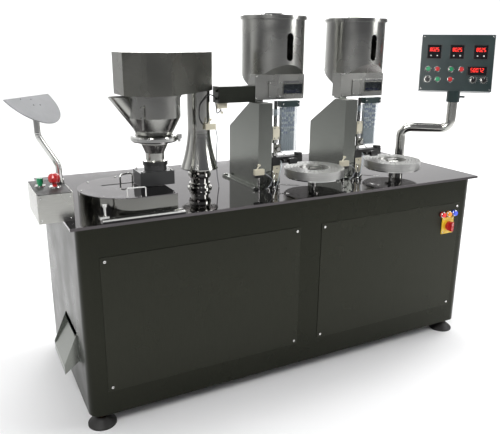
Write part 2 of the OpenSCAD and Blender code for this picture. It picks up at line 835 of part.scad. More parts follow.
feed_x0 = -240;
feed_x1 = 0;
feed_y0 = 107;
feed_z0 = column_h + 7;
feed_h = 104;
feed_z1 = feed_z0 + feed_h;
hopper_x = -105;
hopper_y = 202;
hopper_top = feed_z1 + hopper_h;
hopper_wall = 2;
rim_h = 13;
rim_w = 8;
feed_d = 66;
sight_angle = 2;
sight_r = 15;
sight_z = [165, 83];        // lower and upper end below the drum's top
floor_slope = 29;

magazine_x0 = -148;
magazine_x1 = magazine_x0 + magazine_w;
magazine_y0 = 40;
magazine_y1 = magazine_y0 + magazine_d;
magazine_my = (magazine_y0 + magazine_y1) / 2;
channel_r = 4.3;
channel_step = (magazine_w - 12) / channels;
rod_x = magazine_x0 - 24;
rod_r = 7;
shoe_z0 = 100;
shoe_z1 = 128;
magazine_z0 = shoe_z1 + magazine_stroke + 3;
magazine_z1 = magazine_z0 + magazine_h;
holder_z1 = feed_z0 - gap;
slot_z0 = shoe_z0 + 8;
slot_z1 = shoe_z1 - 8;
guide_z = 205;

module at_station(i) {
    on_top() translate([station_x(i), ring_y, 0]) children();
}

module column_profile(s, z0) {
    polygon([[column_y0 + s, z0], [column_y1 - s, z0], [column_y1 - s, column_h - column_drop - s * 0.6],
             [column_y0 + column_shoulder - s * 0.3, column_h - s], [column_y0 + s, column_h - s]]);
}

module loader_column(i) {
    color("dimgray") at_station(i) difference() {
        union() {
            translate([column_x0, 0, 0]) rotate([90, 0, 90]) linear_extrude(column_w)
                column_profile(0, foot_plate_t);
            block([column_x0 - 30, column_y0 - 16, 0], [column_x1 + 4, column_y1 + 16, foot_plate_t]);
            for (y = [column_y0, column_y1]) post(column_x0 - 16, y, foot_plate_t, foot_plate_t + 6, 8, 6);
            block([feed_x0, feed_y0 + 10, column_h - eps],
                  [column_x1, column_y0 + column_shoulder + 40, feed_z0]);
            block([column_x1 - eps, magazine_my - 14, guide_z], [rod_x + 14, magazine_my + 14, guide_z + 54]);
        }
        translate([column_x0 + column_sheet, 0, 0]) rotate([90, 0, 90])
            linear_extrude(column_w - 2 * column_sheet) column_profile(column_sheet, -1);
        post(rod_x, magazine_my, guide_z - 1, guide_z + 60, rod_r + fit, 48);
    }
}

// the drum of a capsule hopper, cut under its front and along its sloping floor
module drum_form(r, lift, top) {
    difference() {
        post(hopper_x, hopper_y, feed_z0, top, r, 96);
        translate([hopper_x, feed_y0, feed_z1 + lift]) rotate([-45, 0, 0])
            translate([-400, -400, -400]) cube([800, 400, 400]);
        translate([hopper_x, feed_y0, feed_z0 + 20 + lift]) rotate([floor_slope, 0, 0])
            translate([-400, -5, -400]) cube([800, 800, 400]);
        translate([hopper_x - 400, feed_y0 - 400, feed_z0 - 1]) cube([800, 400 + lift, feed_h + 1 + lift]);
    }
}

module loader_hopper(i) {
    window = [96, 42];
    s = hopper_wall;
    color("silver") at_station(i) difference() {
        union() {
            drum_form(hopper_r, 0, hopper_top);
            block([feed_x0, feed_y0, feed_z0], [feed_x1, feed_y0 + feed_d, feed_z1]);
            difference() {
                post(hopper_x, hopper_y, hopper_top - rim_h, hopper_top, hopper_r + rim_w, 96);
                post(hopper_x, hopper_y, hopper_top - rim_h - 1, hopper_top + 1, hopper_r - s, 96);
            }
            block([feed_x0 + 62, feed_y0 - 4, feed_z0 + 8], [feed_x0 + 124, feed_y0 + 1, feed_z0 + 76]);
        }
        drum_form(hopper_r - s, s, hopper_top + 1);
        difference() {
            block([feed_x0 + s, feed_y0 + s, feed_z0 + s], [feed_x1 - s, feed_y0 + feed_d - s, feed_z1 - s]);
            block([feed_x0, feed_y0, feed_z0], [magazine_x0 - 10, feed_y0 + feed_d, feed_z1]);
        }
        block([feed_x1 - 8 - window.x, feed_y0 - 1, feed_z0 + 22],
              [feed_x1 - 8, feed_y0 + s + 1, feed_z0 + 22 + window.y]);
        translate([hopper_x, hopper_y, hopper_top]) rotate([90, 0, sight_angle])
            translate([0, 0, hopper_r - 12]) linear_extrude(24) {
                translate([-sight_r, -sight_z[0]]) square([2 * sight_r, sight_z[0] - sight_z[1]]);
                for (z = sight_z) translate([0, -z]) circle(sight_r, $fn = 32);
            }
    }
}

module loader_lid(i) {
    lid_r = hopper_r + rim_w - 1;
    color("silver") at_station(i) translate([hopper_x, hopper_y, hopper_top]) {
        cylinder(r = lid_r, h = 2, $fn = 96);
        translate([0, 0, -8]) difference() {
            cylinder(r = hopper_r - hopper_wall - 1, h = 9, $fn = 96);
            translate([0, 0, -1]) cylinder(r = hopper_r - hopper_wall - 3, h = 9.5, $fn = 96);
        }
        for (x = [-36, 36]) post(x, 0, 1, 13, 5, small);
        translate([-42, 0, 13]) rotate([0, 90, 0]) cylinder(r = 5, h = 84, $fn = small);
    }
}

module loader_magazine(i) {
    color("lightblue") at_station(i) difference() {
        union() {
            block([magazine_x0, magazine_y0, magazine_z0], [magazine_x1, magazine_y1, magazine_z1]);
            block([magazine_x0 - 5, magazine_y0 - 5, magazine_z1 - eps],
                  [magazine_x1 + 5, magazine_y1 + 5, holder_z1]);
            block([rod_x - 14, magazine_my - 12, magazine_z1 - 34],
                  [magazine_x0 + eps, magazine_my + 12, magazine_z1 - 8]);
        }
        for (k = [0 : channels - 1])
            post(magazine_x0 + 6 + (k + 0.5) * channel_step, magazine_my, magazine_z0 - 1, holder_z1 + 1,
                 channel_r, small);
        post(rod_x, magazine_my, magazine_z0, holder_z1 + 1, rod_r + fit, 48);
    }
}

module loader_shoe(i) {
    color("black") at_station(i) {
        difference() {
            union() {
                block([rod_x - 18, magazine_y0 - 3, shoe_z0], [magazine_x1 + 30, magazine_y1 + 13, shoe_z1]);
                block([rod_x - 18, magazine_y0 - 3, 0], [rod_x + 20, magazine_y1 + 13, shoe_z0 + eps]);
            }
            block([magazine_x0 - 2, magazine_y0 - 10, slot_z0], [magazine_x1 + 2, magazine_y1 + 20, slot_z1]);
            for (k = [0 : channels - 1])
                post(magazine_x0 + 6 + (k + 0.5) * channel_step, magazine_my, shoe_z0 - 1, shoe_z1 + 1,
                     channel_r, small);
        }
        post(rod_x, magazine_my, shoe_z1 - eps, feed_z0, rod_r, 48);
    }
}

module loader_pusher(i) {
    bar_y1 = magazine_y0 - 16 - pusher_stroke;
    color("dimgray") at_station(i) {
        block([magazine_x0 - 2 + gap, bar_y1, slot_z0 + gap],
              [magazine_x1 + 2 - gap, magazine_my - channel_r - 1, slot_z1 - gap]);
        block([magazine_x0 + 20, bar_y1 - 12, shoe_z0 + 2],
              [magazine_x1 - 20, bar_y1 + eps, shoe_z1 - 2]);
    }
}

// ---------------------------------------------------------------- bridge arm and switches

bridge_z0 = column_h;
bridge_h = 66;
bridge_y0 = feed_y0 + ring_y + 3;
bridge_w = 60;
bridge_x0 = pillar_x + cover_end_r + 10;

module bridge_arm() {
    sheet = 3;
    x1 = ring_x + feed_x0;
    color("dimgray") on_top() {
        difference() {
            block([bridge_x0, bridge_y0, bridge_z0], [x1, bridge_y0 + bridge_w, bridge_z0 + bridge_h]);
            block([bridge_x0 + sheet, bridge_y0 + sheet, bridge_z0 + sheet],
                  [x1 + 1, bridge_y0 + bridge_w - sheet, bridge_z0 + bridge_h - sheet]);
        }
        for (z = [bridge_z0 + 18, bridge_z0 + 48]) translate([bridge_x0, bridge_y0 + 20, z])
            rotate([0, -90, 0]) cylinder(r = 5, h = 8, $fn = small);
    }
}

// a small roller lever switch, its body from [0, 0, 0], its lever on top
module limit_switch() {
    block([0, 0, 0], [44, 16, 24]);
    translate([12, 8, 23]) rotate([0, 30, 0]) translate([-2, -3, 0]) cube([3, 6, 22]);
    translate([22, 3, 41]) rotate([-90, 0, 0]) cylinder(r = 5, h = 10, $fn = small);
    for (x = [8, 36]) stud_y(x, -2, 0, 12, 3.5);
}

module limit_switches() {
    color("ivory") on_top() {
        for (i = [1, 2]) translate([station_x(i), ring_y, 0]) {
            translate([column_x0 - 30, column_y0 - 30, 66]) limit_switch();
            block([column_x0, column_y0 - 14, 70], [column_x0 + 12, column_y0, 86]);
        }
        translate([pillar_x + 4, pillar_y - 68, 254]) limit_switch();
        difference() {
            block([pillar_x + 10, pillar_y - 52, 258], [pillar_x + 24, pillar_y - 30, 274]);
            post(pillar_x, pillar_y, 0, cover_z, pillar_r);
        }
        translate([bridge_x0 + 4, bridge_y0 + 20, bridge_z0]) mirror([0, 0, 1]) limit_switch();
    }
}

// ---------------------------------------------------------------- turntables and rings

module turntable(i) {
    seat_t = 6;
    color("silver") at_station(i) {
        post(0, 0, ring_z - seat_t, ring_z, ring_r - 6, 96);
        post(0, 0, ring_z - eps, ring_z + ring_t - 9, ring_bore_r - gap, 96);
        post(0, 0, -table_t - spindle_drop, ring_z - seat_t + eps, spindle_r, 48);
        block([-29, -9, ring_z + ring_t - 9 - eps], [29, 9, ring_z + ring_t + 2]);
        post(0, 0, ring_z - seat_t - 6, ring_z - seat_t + eps, 24, 48);
    }
}

module capsule_ring(i) {
    row_step = (ring_r - ring_bore_r - 20) / (row_pockets - 1);
    groove = 1;
    color("gainsboro") at_station(i) difference() {
        post(0, 0, ring_z, ring_z + ring_t, ring_r, 128);
        post(0, 0, ring_z - 1, ring_z + ring_t + 1, ring_bore_r, 96);
        translate([0, 0, ring_z + ring_t / 2 - groove / 2]) rotate_extrude($fn = 128)
            translate([ring_r - groove, 0]) square([groove + 1, groove]);
        for (a = [0 : pocket_rows - 1], k = [0 : row_pockets - 1]) rotate([0, 0, a * 360 / pocket_rows])
            post(ring_bore_r + 10 + k * row_step, 0, ring_z - 1, ring_z + ring_t + 1, pocket_r, 16);
    }
}

// ---------------------------------------------------------------- console

post_bend_r = 48;
run_z = 186;
console_bottom = 371;
console_sheet = 2;
face_t = 3;
collar_h = 50;
button_r = 10.5;

// places on the face, from its upper left corner
console_buttons = [[38, 170], [82, 170], [148, 170], [197, 170], [86, 220], [147, 220]];
selector_place = [38, 220];
knob_places = [[256, 220], [306, 220]];
display_places = [[62, 84], [171, 84], [283, 84]];
display_size = [66, 66];
counter_place = [272, 176];
counter_size = [92, 42];
knob_shaft_r = 4;

module on_face(p) {
    in_console() translate([p.x - console_w / 2, 0, console_h / 2 - p.y]) children();
}

module panel_post() {
    run = post_run - 2 * post_bend_r;
    color("silver") on_top() translate([post_x, post_y, 0]) rotate([0, 0, -console_yaw]) {
        post(0, 0, 0, 10, 46, 64);
        post(0, 0, 10 - eps, run_z - post_bend_r, post_r);
        translate([post_bend_r, 0, run_z - post_bend_r]) rotate([90, 0, 0]) rotate([0, 0, 90])
            rotate_extrude(angle = 90) translate([post_bend_r, 0]) circle(post_r);
        translate([post_bend_r, 0, run_z]) rotate([0, 90, 0]) cylinder(r = post_r, h = run);
        translate([post_run - post_bend_r, 0, run_z + post_bend_r]) rotate([90, 0, 0]) rotate([0, 0, 270])
            rotate_extrude(angle = 90) translate([post_bend_r, 0]) circle(post_r);
        post(post_run, 0, run_z + post_bend_r, console_bottom - 14, post_r);
    }
}

module console_box() {
    color("darkslategray") {
        difference() {
            union() {
                in_console() block([-console_w / 2, 0, -console_h / 2],
                                   [console_w / 2, console_d, console_h / 2]);
                on_top()
                    post(console_x, console_y, console_bottom - collar_h, console_bottom + 6, post_r + 7);
                on_top() translate([console_x, console_y, console_bottom - 24]) rotate([0, 90, -console_yaw])
                    cylinder(r = 5, h = post_r + 30, $fn = small);
                for (p = console_buttons) on_face(p) stud_y(0, -4, eps, 0, 15, 48);
            }
            in_console() block([-console_w / 2 + console_sheet, face_t, -console_h / 2 + 14],
                               [console_w / 2 - console_sheet, console_d - console_sheet,
                                console_h / 2 - console_sheet]);
            on_top()
                post(console_x, console_y, console_bottom - collar_h - 1, console_bottom - 13, post_r + fit);
            for (p = display_places) on_face(p)
                block([-display_size.x / 2, -1, -display_size.y / 2],
                      [display_size.x / 2, 1.5, display_size.y / 2]);
            on_face(counter_place)
                block([-counter_size.x / 2, -1, -counter_size.y / 2],
                      [counter_size.x / 2, 1.5, counter_size.y / 2]);
            for (p = console_buttons) on_face(p) stud_y(0, -5, face_t + 1, 0, button_r + 0.5);
            for (p = concat([selector_place], knob_places)) on_face(p)
                stud_y(0, -5, face_t + 1, 0, knob_shaft_r + fit);
        }
    }
}

module console_button(k) {
    color(["green", "red", "green", "red", "green", "red"][k - 1]) on_face(console_buttons[k - 1])
        stud_y(0, -9, 14, 0, button_r);
}

module console_selector() {
    color("black") on_face(selector_place) {
        stud_y(0, -3, 12, 0, knob_shaft_r);
        stud_y(0, -8, -0.5, 0, 12, 48);
        block([-3.5, -16, -12], [3.5, -7.5, 12]);
    }
}

module console_knob(k) {
    color("black") on_face(knob_places[k - 1]) difference() {
        union() {
            stud_y(0, -3, 12, 0, knob_shaft_r);
            stud_y(0, -16, -0.5, 0, 11, 48);
        }
        block([-0.8, -17, 3], [0.8, -14.5, 12]);
    }
}

// ---------------------------------------------------------------- what is drawn

base_frame();
cabinet_shell();
table_top();
front_panels();
panel_screws();
levelling_feet();
main_switch_plate();
main_switch_knob();
pilot_lamps();
discharge_chute();
operator_box();
start_button();
stop_button();
shield_arm();
shield_plate();
filling_housing();
filling_cover();
filling_turntable();
ring_rail();
pillar();
head_plate();
head_cover();
auger_motor();
powder_hopper();
hopper_clamp();
filling_throat();
dosing_shoe();
auger();
bridge_arm();
limit_switches();
turntable_drives();
electrical_plate();
vacuum_pump();
panel_post();
console_box();
console_selector();
for (k = [1 : len(console_buttons)])
    console_button(k);
for (k = [1 : len(knob_places)])
    console_knob(k);
for (i = [1, 2]) {
    loader_column(i);
    loader_hopper(i);
    loader_lid(i);
    loader_magazine(i);
    loader_shoe(i);
    loader_pusher(i);
    turntable(i);
    capsule_ring(i);
}
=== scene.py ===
import json
import math
import random

import bmesh
import bpy
from mathutils import Matrix, Vector
from mathutils.geometry import tessellate_polygon


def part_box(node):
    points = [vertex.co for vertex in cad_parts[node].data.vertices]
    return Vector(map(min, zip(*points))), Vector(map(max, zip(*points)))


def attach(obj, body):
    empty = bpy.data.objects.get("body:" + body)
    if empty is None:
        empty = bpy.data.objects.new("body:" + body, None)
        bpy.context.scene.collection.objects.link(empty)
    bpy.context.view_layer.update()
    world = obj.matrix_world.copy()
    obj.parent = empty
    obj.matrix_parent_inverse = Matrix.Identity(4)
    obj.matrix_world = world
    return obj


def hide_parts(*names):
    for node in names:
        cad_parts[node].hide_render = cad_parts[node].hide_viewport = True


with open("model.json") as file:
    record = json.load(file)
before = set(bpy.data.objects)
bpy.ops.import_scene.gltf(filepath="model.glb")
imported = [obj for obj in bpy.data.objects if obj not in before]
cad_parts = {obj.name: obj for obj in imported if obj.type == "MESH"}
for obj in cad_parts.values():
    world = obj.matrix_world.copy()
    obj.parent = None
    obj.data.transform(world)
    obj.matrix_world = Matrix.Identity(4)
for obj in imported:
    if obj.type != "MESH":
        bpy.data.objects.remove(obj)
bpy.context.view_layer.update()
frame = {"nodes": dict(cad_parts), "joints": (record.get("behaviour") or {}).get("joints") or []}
NODES = frame["nodes"]
JOINTS = {j["name"]: j for j in frame["joints"]}
MM = 0.001
UP, DOWN, FRONT = (0, 0, 1), (0, 0, -1), (0, -1, 0)


# ------------------------------------------------------------------ places taken from the frame

def low(node):
    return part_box(node)[0]


def high(node):
    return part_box(node)[1]


def middle(node):
    a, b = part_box(node)
    return (a + b) / 2


TOP_Z = high("table_top").z


# ------------------------------------------------------------------ materials

class Shader:
    """A small helper that builds one procedural material in object coordinates."""

    def __init__(self, name):
        self.mat = bpy.data.materials.new(name)
        self.mat.use_nodes = True
        self.nodes = self.mat.node_tree.nodes
        self.links = self.mat.node_tree.links
        self.bsdf = self.nodes["Principled BSDF"]
        self.coords = self.nodes.new("ShaderNodeTexCoord").outputs["Object"]

    def put(self, **values):
        for key, value in values.items():
            self.bsdf.inputs[key.replace("_", " ")].default_value = value
        return self

    def noise(self, scale, stretch=(1, 1, 1), detail=4.0, rough=0.6):
        mapping = self.nodes.new("ShaderNodeMapping")
        mapping.inputs["Scale"].default_value = stretch
        self.links.new(self.coords, mapping.inputs["Vector"])
        tex = self.nodes.new("ShaderNodeTexNoise")
        tex.inputs["Scale"].default_value = scale
        tex.inputs["Detail"].default_value = detail
        tex.inputs["Roughness"].default_value = rough
        self.links.new(mapping.outputs["Vector"], tex.inputs["Vector"])
        return tex.outputs["Fac"]

    def ramp(self, fac, low_value, high_value, start=0.3, end=0.7):
        node = self.nodes.new("ShaderNodeMapRange")
        node.inputs["From Min"].default_value = start
        node.inputs["From Max"].default_value = end
        node.inputs["To Min"].default_value = low_value
        node.inputs["To Max"].default_value = high_value
        self.links.new(fac, node.inputs["Value"])
        return node.outputs["Result"]

    def colours(self, fac, dark, light, start=0.3, end=0.7):
        node = self.nodes.new("ShaderNodeValToRGB")
        node.color_ramp.elements[0].position = start
        node.color_ramp.elements[1].position = end
        node.color_ramp.elements[0].color = (*dark, 1)
        node.color_ramp.elements[1].color = (*light, 1)
        self.links.new(fac, node.inputs["Fac"])
        return node.outputs["Color"]

    def mixed(self, fac, a, b):
        node = self.nodes.new("ShaderNodeMix")
        node.data_type = "RGBA"
        self.links.new(fac, node.inputs["Factor"])
        self.links.new(a, node.inputs["A"])
        self.links.new(b, node.inputs["B"])
        return node.outputs["Result"]

    def feed(self, socket, name):
        self.links.new(socket, self.bsdf.inputs[name])
        return self

    def bump(self, height, strength, distance=0.0004, edge=0.0):
        node = self.nodes.new("ShaderNodeBump")
        node.inputs["Strength"].default_value = strength
        node.inputs["Distance"].default_value = distance
        self.links.new(height, node.inputs["Height"])
        if edge:
            bevel = self.nodes.new("ShaderNodeBevel")
            bevel.samples = 4
            bevel.inputs["Radius"].default_value = edge
            self.links.new(bevel.outputs["Normal"], node.inputs["Normal"])
        self.links.new(node.outputs["Normal"], self.bsdf.inputs["Normal"])
        return self


def tint(colour, k):
    return tuple(min(1.0, c * k) for c in colour)


def brushed(name, colour, rough, grain=(1, 1, 60), spread=0.12, edge=0.0008, smudge=0.1):
    """Metal with a fine grain across the stretched axis, and faint cloudy wear."""
    s = Shader(name).put(Metallic=1.0)
    fine = s.noise(26, grain, 6.0, 0.7)
    cloud = s.noise(5, (1, 1, 1), 3.0, 0.5)
    streak = s.colours(fine, tint(colour, 1 - spread), tint(colour, 1 + spread))
    worn = s.colours(fine, tint(colour, 1 - spread / 2), tint(colour, 1 + spread * 1.6))
    s.feed(s.mixed(s.ramp(cloud, 0, 1, 0.4, 0.62), streak, worn), "Base Color")
    s.feed(s.ramp(cloud, rough - smudge / 2, rough + smudge / 2, 0.35, 0.65), "Roughness")
    return s.bump(fine, 0.1, 0.0003, edge).mat


def polished(name, colour, rough=0.12, edge=0.0006):
    """Bright metal with faint wipe marks."""
    s = Shader(name).put(Metallic=1.0)
    wipe = s.noise(14, (1, 1, 5), 5.0, 0.6)
    cloud = s.noise(3.2, (1, 1, 1), 3.0, 0.5)
    s.feed(s.colours(cloud, tint(colour, 0.9), tint(colour, 1.08)), "Base Color")
    s.feed(s.ramp(wipe, rough * 0.6, rough * 1.7, 0.35, 0.7), "Roughness")
    return s.bump(wipe, 0.02, 0.0003, edge).mat


def plastic(name, colour, rough=0.35, grit=900, edge=0.0006, depth=0.05, coat=0.0):
    """Moulded plastic or paint with a fine texture and slight fading."""
    s = Shader(name).put(Metallic=0.0)
    if coat:
        s.put(Coat_Weight=coat, Coat_Roughness=0.08)
    fine = s.noise(grit, (1, 1, 1), 2.0, 0.5)
    cloud = s.noise(11, (1, 1, 1), 4.0, 0.6)
    s.feed(s.colours(cloud, tint(colour, 0.84), tint(colour, 1.12)), "Base Color")
    s.feed(s.ramp(cloud, rough * 0.85, rough * 1.2), "Roughness")
    return s.bump(fine, depth, 0.0002, edge).mat


def clear(name, colour, alpha, rough=0.06):
    """Clear acrylic with faint scratches."""
    s = Shader(name).put(Metallic=0.0, IOR=1.49, Alpha=alpha)
    scratch = s.noise(60, (1, 1, 9), 5.0, 0.7)
    s.feed(s.colours(scratch, tint(colour, 0.9), tint(colour, 1.08)), "Base Color")
    s.feed(s.ramp(scratch, rough * 0.6, rough * 2.0), "Roughness")
    return s.bump(scratch, 0.02, 0.0002).mat


def glowing(name, colour, strength):
    """A lit lens or display segment with a slightly uneven glow."""
    s = Shader(name).put(Metallic=0.0, Roughness=0.3, Emission_Strength=strength)
    cloud = s.noise(400, (1, 1, 1), 2.0, 0.5)
    tone = s.colours(cloud, tint(colour, 0.8), tint(colour, 1.1))
    s.feed(tone, "Base Color").feed(tone, "Emission Color")
    return s.mat


def granular(name, colour, scale):
    """Loose powder."""
    s = Shader(name).put(Metallic=0.0, Roughness=0.95)
    grain = s.noise(scale, (1, 1, 1), 6.0, 0.7)
    s.feed(s.colours(grain, tint(colour, 0.8), tint(colour, 1.06)), "Base Color")
    return s.bump(grain, 0.6, 0.0015).mat


OLIVE = (0.026, 0.027, 0.021)
MAT = {
    "cabinet": brushed("cabinet_brushed", OLIVE, 0.30, (30, 30, 1), 0.10, 0.0012),
    "panel": brushed("panel_brushed", (0.033, 0.034, 0.027), 0.31, (30, 30, 1), 0.10, 0.0010),
    "mirror": polished("top_mirror", (0.110, 0.102, 0.106), 0.05, 0.0012),
    "housing": polished("housing_mirror", (0.22, 0.22, 0.205), 0.10),
    "recess": polished("cover_mirror", (0.17, 0.16, 0.165), 0.07),
    "chrome": polished("steel_polished", (0.62, 0.62, 0.60), 0.10),
    "post": brushed("post_satin", (0.50, 0.50, 0.47), 0.15, (1, 1, 30), 0.06),
    "satin": brushed("steel_satin", (0.50, 0.50, 0.47), 0.24, (1, 1, 40), 0.10),
    "drum": brushed("hopper_satin", (0.36, 0.36, 0.34), 0.26, (1, 1, 34), 0.08),
    "column": brushed("column_satin", (0.22, 0.23, 0.21), 0.22, (1, 1, 30), 0.10),
    "dark": brushed("cover_dark", (0.24, 0.24, 0.215), 0.27, (1, 1, 26), 0.10),
    "arm": brushed("arm_dark", (0.045, 0.048, 0.04), 0.3, (1, 26, 26), 0.10),
    "ringsteel": brushed("ring_ground", (0.50, 0.50, 0.485), 0.40, (1, 1, 26), 0.06),
    "zinc": brushed("zinc_plated", (0.48, 0.46, 0.40), 0.4, (6, 6, 6), 0.14),
    "copper": brushed("nut_yellow", (0.42, 0.16, 0.08), 0.42, (6, 6, 6), 0.16),
    "frame": plastic("frame_paint", (0.045, 0.05, 0.052), 0.55, 500),
    "rubber": plastic("rubber_black", (0.012, 0.011, 0.010), 0.55, 700, 0.001, 0.15),
    "black": plastic("block_black", (0.016, 0.016, 0.016), 0.38, 600),
    "knob": plastic("knob_black", (0.010, 0.010, 0.010), 0.22, 900, 0.0006, 0.03, 0.3),
    "grey": plastic("block_grey", (0.035, 0.036, 0.036), 0.36, 500),
    "ivory": plastic("nylon_ivory", (0.64, 0.60, 0.47), 0.42, 700),
    "yellow": plastic("switch_yellow", (0.78, 0.50, 0.03), 0.32, 900, 0.0006, 0.03, 0.3),
    "red": plastic("switch_red", (0.52, 0.012, 0.014), 0.28, 900, 0.0006, 0.03, 0.4),
    "green": plastic("button_green", (0.01, 0.26, 0.10), 0.28, 900, 0.0006, 0.03, 0.4),
    "motor": plastic("motor_paint", (0.07, 0.09, 0.11), 0.42, 300, 0.001, 0.1),
    "plate": plastic("plate_grey", (0.20, 0.203, 0.21), 0.42, 400, 0.0004, 0.03),
    "console": plastic("console_paint", (0.014, 0.029, 0.029), 0.32, 260, 0.001, 0.12),
    "glassblack": plastic("display_glass", (0.008, 0.006, 0.007), 0.08, 900, 0.0, 0.01, 0.5),
    "white": plastic("shell_white", (0.78, 0.78, 0.76), 0.28, 600, 0.0, 0.02),
    "blue": plastic("shell_blue", (0.012, 0.025, 0.22), 0.26, 600, 0.0, 0.02),
    "cable": plastic("cable_black", (0.02, 0.02, 0.022), 0.42, 500, 0.0, 0.05),
    "cablegrey": plastic("cable_grey", (0.30, 0.31, 0.33), 0.42, 500, 0.0, 0.05),
    "hose": clear("hose_clear", (0.62, 0.68, 0.70), 0.5, 0.12),
    "acrylic": clear("magazine_clear", (0.34, 0.40, 0.43), 0.36, 0.08),
    "window": clear("window_smoked", (0.03, 0.035, 0.04), 0.45, 0.05),
    "digits": glowing("digits_red", (1.0, 0.03, 0.02), 3.0),
    "lamp_red": glowing("lamp_red", (0.75, 0.02, 0.02), 0.25),
    "lamp_amber": glowing("lamp_amber", (0.85, 0.30, 0.01), 0.35),
    "lamp_blue": glowing("lamp_blue", (0.05, 0.10, 0.75), 0.35),
    "powder": granular("powder_white", (0.80, 0.78, 0.72), 500),
}


def finish_nodes(table):
    """Gives CAD nodes their materials, from a table of node: material."""
    for name, key in table.items():
        data = NODES[name].data
        data.materials.clear()
        data.materials.append(MAT[key])


finish_nodes({
    "base_frame": "frame", "cabinet_shell": "cabinet", "table_top": "mirror",
    "front_panels": "panel", "panel_screws": "chrome", "main_switch_plate": "yellow",
    "main_switch_knob": "red", "discharge_chute": "column", "operator_box": "satin",
    "start_button": "green", "stop_button": "red", "shield_plate": "plate",
    "shield_arm": "chrome", "filling_housing": "housing", "filling_cover": "recess",
    "filling_turntable": "satin", "ring_rail": "chrome", "pillar": "post",
    "head_plate": "dark", "head_cover": "dark", "auger_motor": "motor", "powder_hopper": "drum",
    "hopper_clamp": "chrome", "filling_throat": "satin", "dosing_shoe": "grey", "auger": "chrome",
    "bridge_arm": "arm", "limit_switches": "ivory", "turntable_drives": "motor",
    "electrical_plate": "zinc", "vacuum_pump": "motor", "panel_post": "post",
    "console_box": "console", "console_selector": "knob", "console_knob_1": "knob",
    "console_knob_2": "knob"})
for k, key in enumerate(["green", "red", "green", "red", "green", "red"]):
    finish_nodes({f"console_button_{k + 1}": key})
for i in (1, 2):
    finish_nodes({
        f"loader_{i}_column": "column", f"loader_{i}_hopper": "drum", f"loader_{i}_lid": "chrome",
        f"loader_{i}_magazine": "acrylic", f"loader_{i}_shoe": "black",
        f"loader_{i}_pusher": "knob",
        f"turntable_{i}": "chrome", f"ring_{i}": "ringsteel"})


# ------------------------------------------------------------------ making pieces

def make(name, mesh, key, body):
    """A visible piece from mesh, with one material, riding its body."""
    obj = bpy.data.objects.new(name, mesh)
    bpy.context.scene.collection.objects.link(obj)
    mesh.materials.clear()
    mesh.materials.append(MAT[key])
    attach(obj, body)
    return obj


SHARP_ANGLE = math.radians(35)


def close(bm, name):
    """Turns bm into a smooth mesh whose edges over the sharp angle stay sharp."""
    bmesh.ops.recalc_face_normals(bm, faces=bm.faces)
    mesh = bpy.data.meshes.new(name)
    for face in bm.faces:
        face.smooth = True
    for edge in bm.edges:
        if len(edge.link_faces) == 2 and edge.calc_face_angle(0) > SHARP_ANGLE:
            edge.smooth = False
    bm.to_mesh(mesh)
    bm.free()
    return mesh


def frame_at(place, axis, turn=0.0):
    """A matrix whose z runs along axis at place."""
    z = Vector(axis).normalized()
    side = Vector((0, 0, 1)) if abs(z.z) < 0.9 else Vector((1, 0, 0))
    x = side.cross(z).normalized()
    y = z.cross(x)
    turned = Matrix((x, y, z)).transposed().to_4x4()
    return Matrix.Translation(place) @ turned @ Matrix.Rotation(turn, 4, "Z")


def add_lathe(bm, outline, matrix, steps=32):
    """Revolves [(radius, height), ...] about the matrix's z."""
    rings = []
    for r, z in outline:
        if r < 1e-6:
            rings.append([bm.verts.new(matrix @ Vector((0, 0, z)))])
        else:
            rings.append([bm.verts.new(matrix @ Vector((r * math.cos(a), r * math.sin(a), z)))
                          for a in (2 * math.pi * k / steps for k in range(steps))])
    for lower, upper in zip(rings, rings[1:]):
        for k in range(steps):
            n = (k + 1) % steps
            corners = [lower[k % len(lower)], lower[n % len(lower)],
                       upper[n % len(upper)], upper[k % len(upper)]]
            unique = list(dict.fromkeys(corners))
            if len(unique) > 2:
                bm.faces.new(unique)
    for ring in (rings[0], rings[-1]):
        if len(ring) > 2:
            bm.faces.new(ring)


def add_block(bm, size, matrix, bevel=0.0006):
    """Adds a box of the given size, with its middle at the matrix's origin."""
    made = bmesh.ops.create_cube(bm, size=1.0)["verts"]
    bmesh.ops.scale(bm, vec=size, verts=made)
    if bevel:
        edges = list({e for v in made for e in v.link_edges})
        bevelled = bmesh.ops.bevel(bm, geom=edges, offset=bevel, segments=2, affect="EDGES")
        made = list({v for f in bevelled["faces"] for v in f.verts}
                    | {v for v in made if v.is_valid})
    bmesh.ops.transform(bm, matrix=matrix, verts=made)


def add_tube(bm, points, radius, sides=10):
    """Sweeps a round section along points, closed at both ends."""
    points = [Vector(p) for p in points]
    rings = []
    normal = None
    for k, p in enumerate(points):
        ahead = points[min(k + 1, len(points) - 1)] - points[max(k - 1, 0)]
        t = ahead.normalized()
        if normal is None:
            normal = t.orthogonal().normalized()
        normal = (normal - t * normal.dot(t)).normalized()
        other = t.cross(normal)
        rings.append([bm.verts.new(p + radius * (math.cos(a) * normal + math.sin(a) * other))
                      for a in (2 * math.pi * j / sides for j in range(sides))])
    for lower, upper in zip(rings, rings[1:]):
        for j in range(sides):
            n = (j + 1) % sides
            bm.faces.new([lower[j], lower[n], upper[n], upper[j]])
    bm.faces.new(rings[0])
    bm.faces.new(rings[-1])


def curve_points(anchors, steps=8):
    """A smooth path through anchors (Catmull-Rom)."""
    a = [Vector(p) for p in anchors]
    a = [a[0] * 2 - a[1]] + a + [a[-1] * 2 - a[-2]]
    path = []
    for p0, p1, p2, p3 in zip(a, a[1:], a[2:], a[3:]):
        for k in range(steps):
            t = k / steps
            path.append(0.5 * ((2 * p1) + (p2 - p0) * t + (2 * p0 - 5 * p1 + 4 * p2 - p3) * t * t
                               + (3 * p1 - p0 - 3 * p2 + p3) * t ** 3))
    path.append(a[-2])
    return path


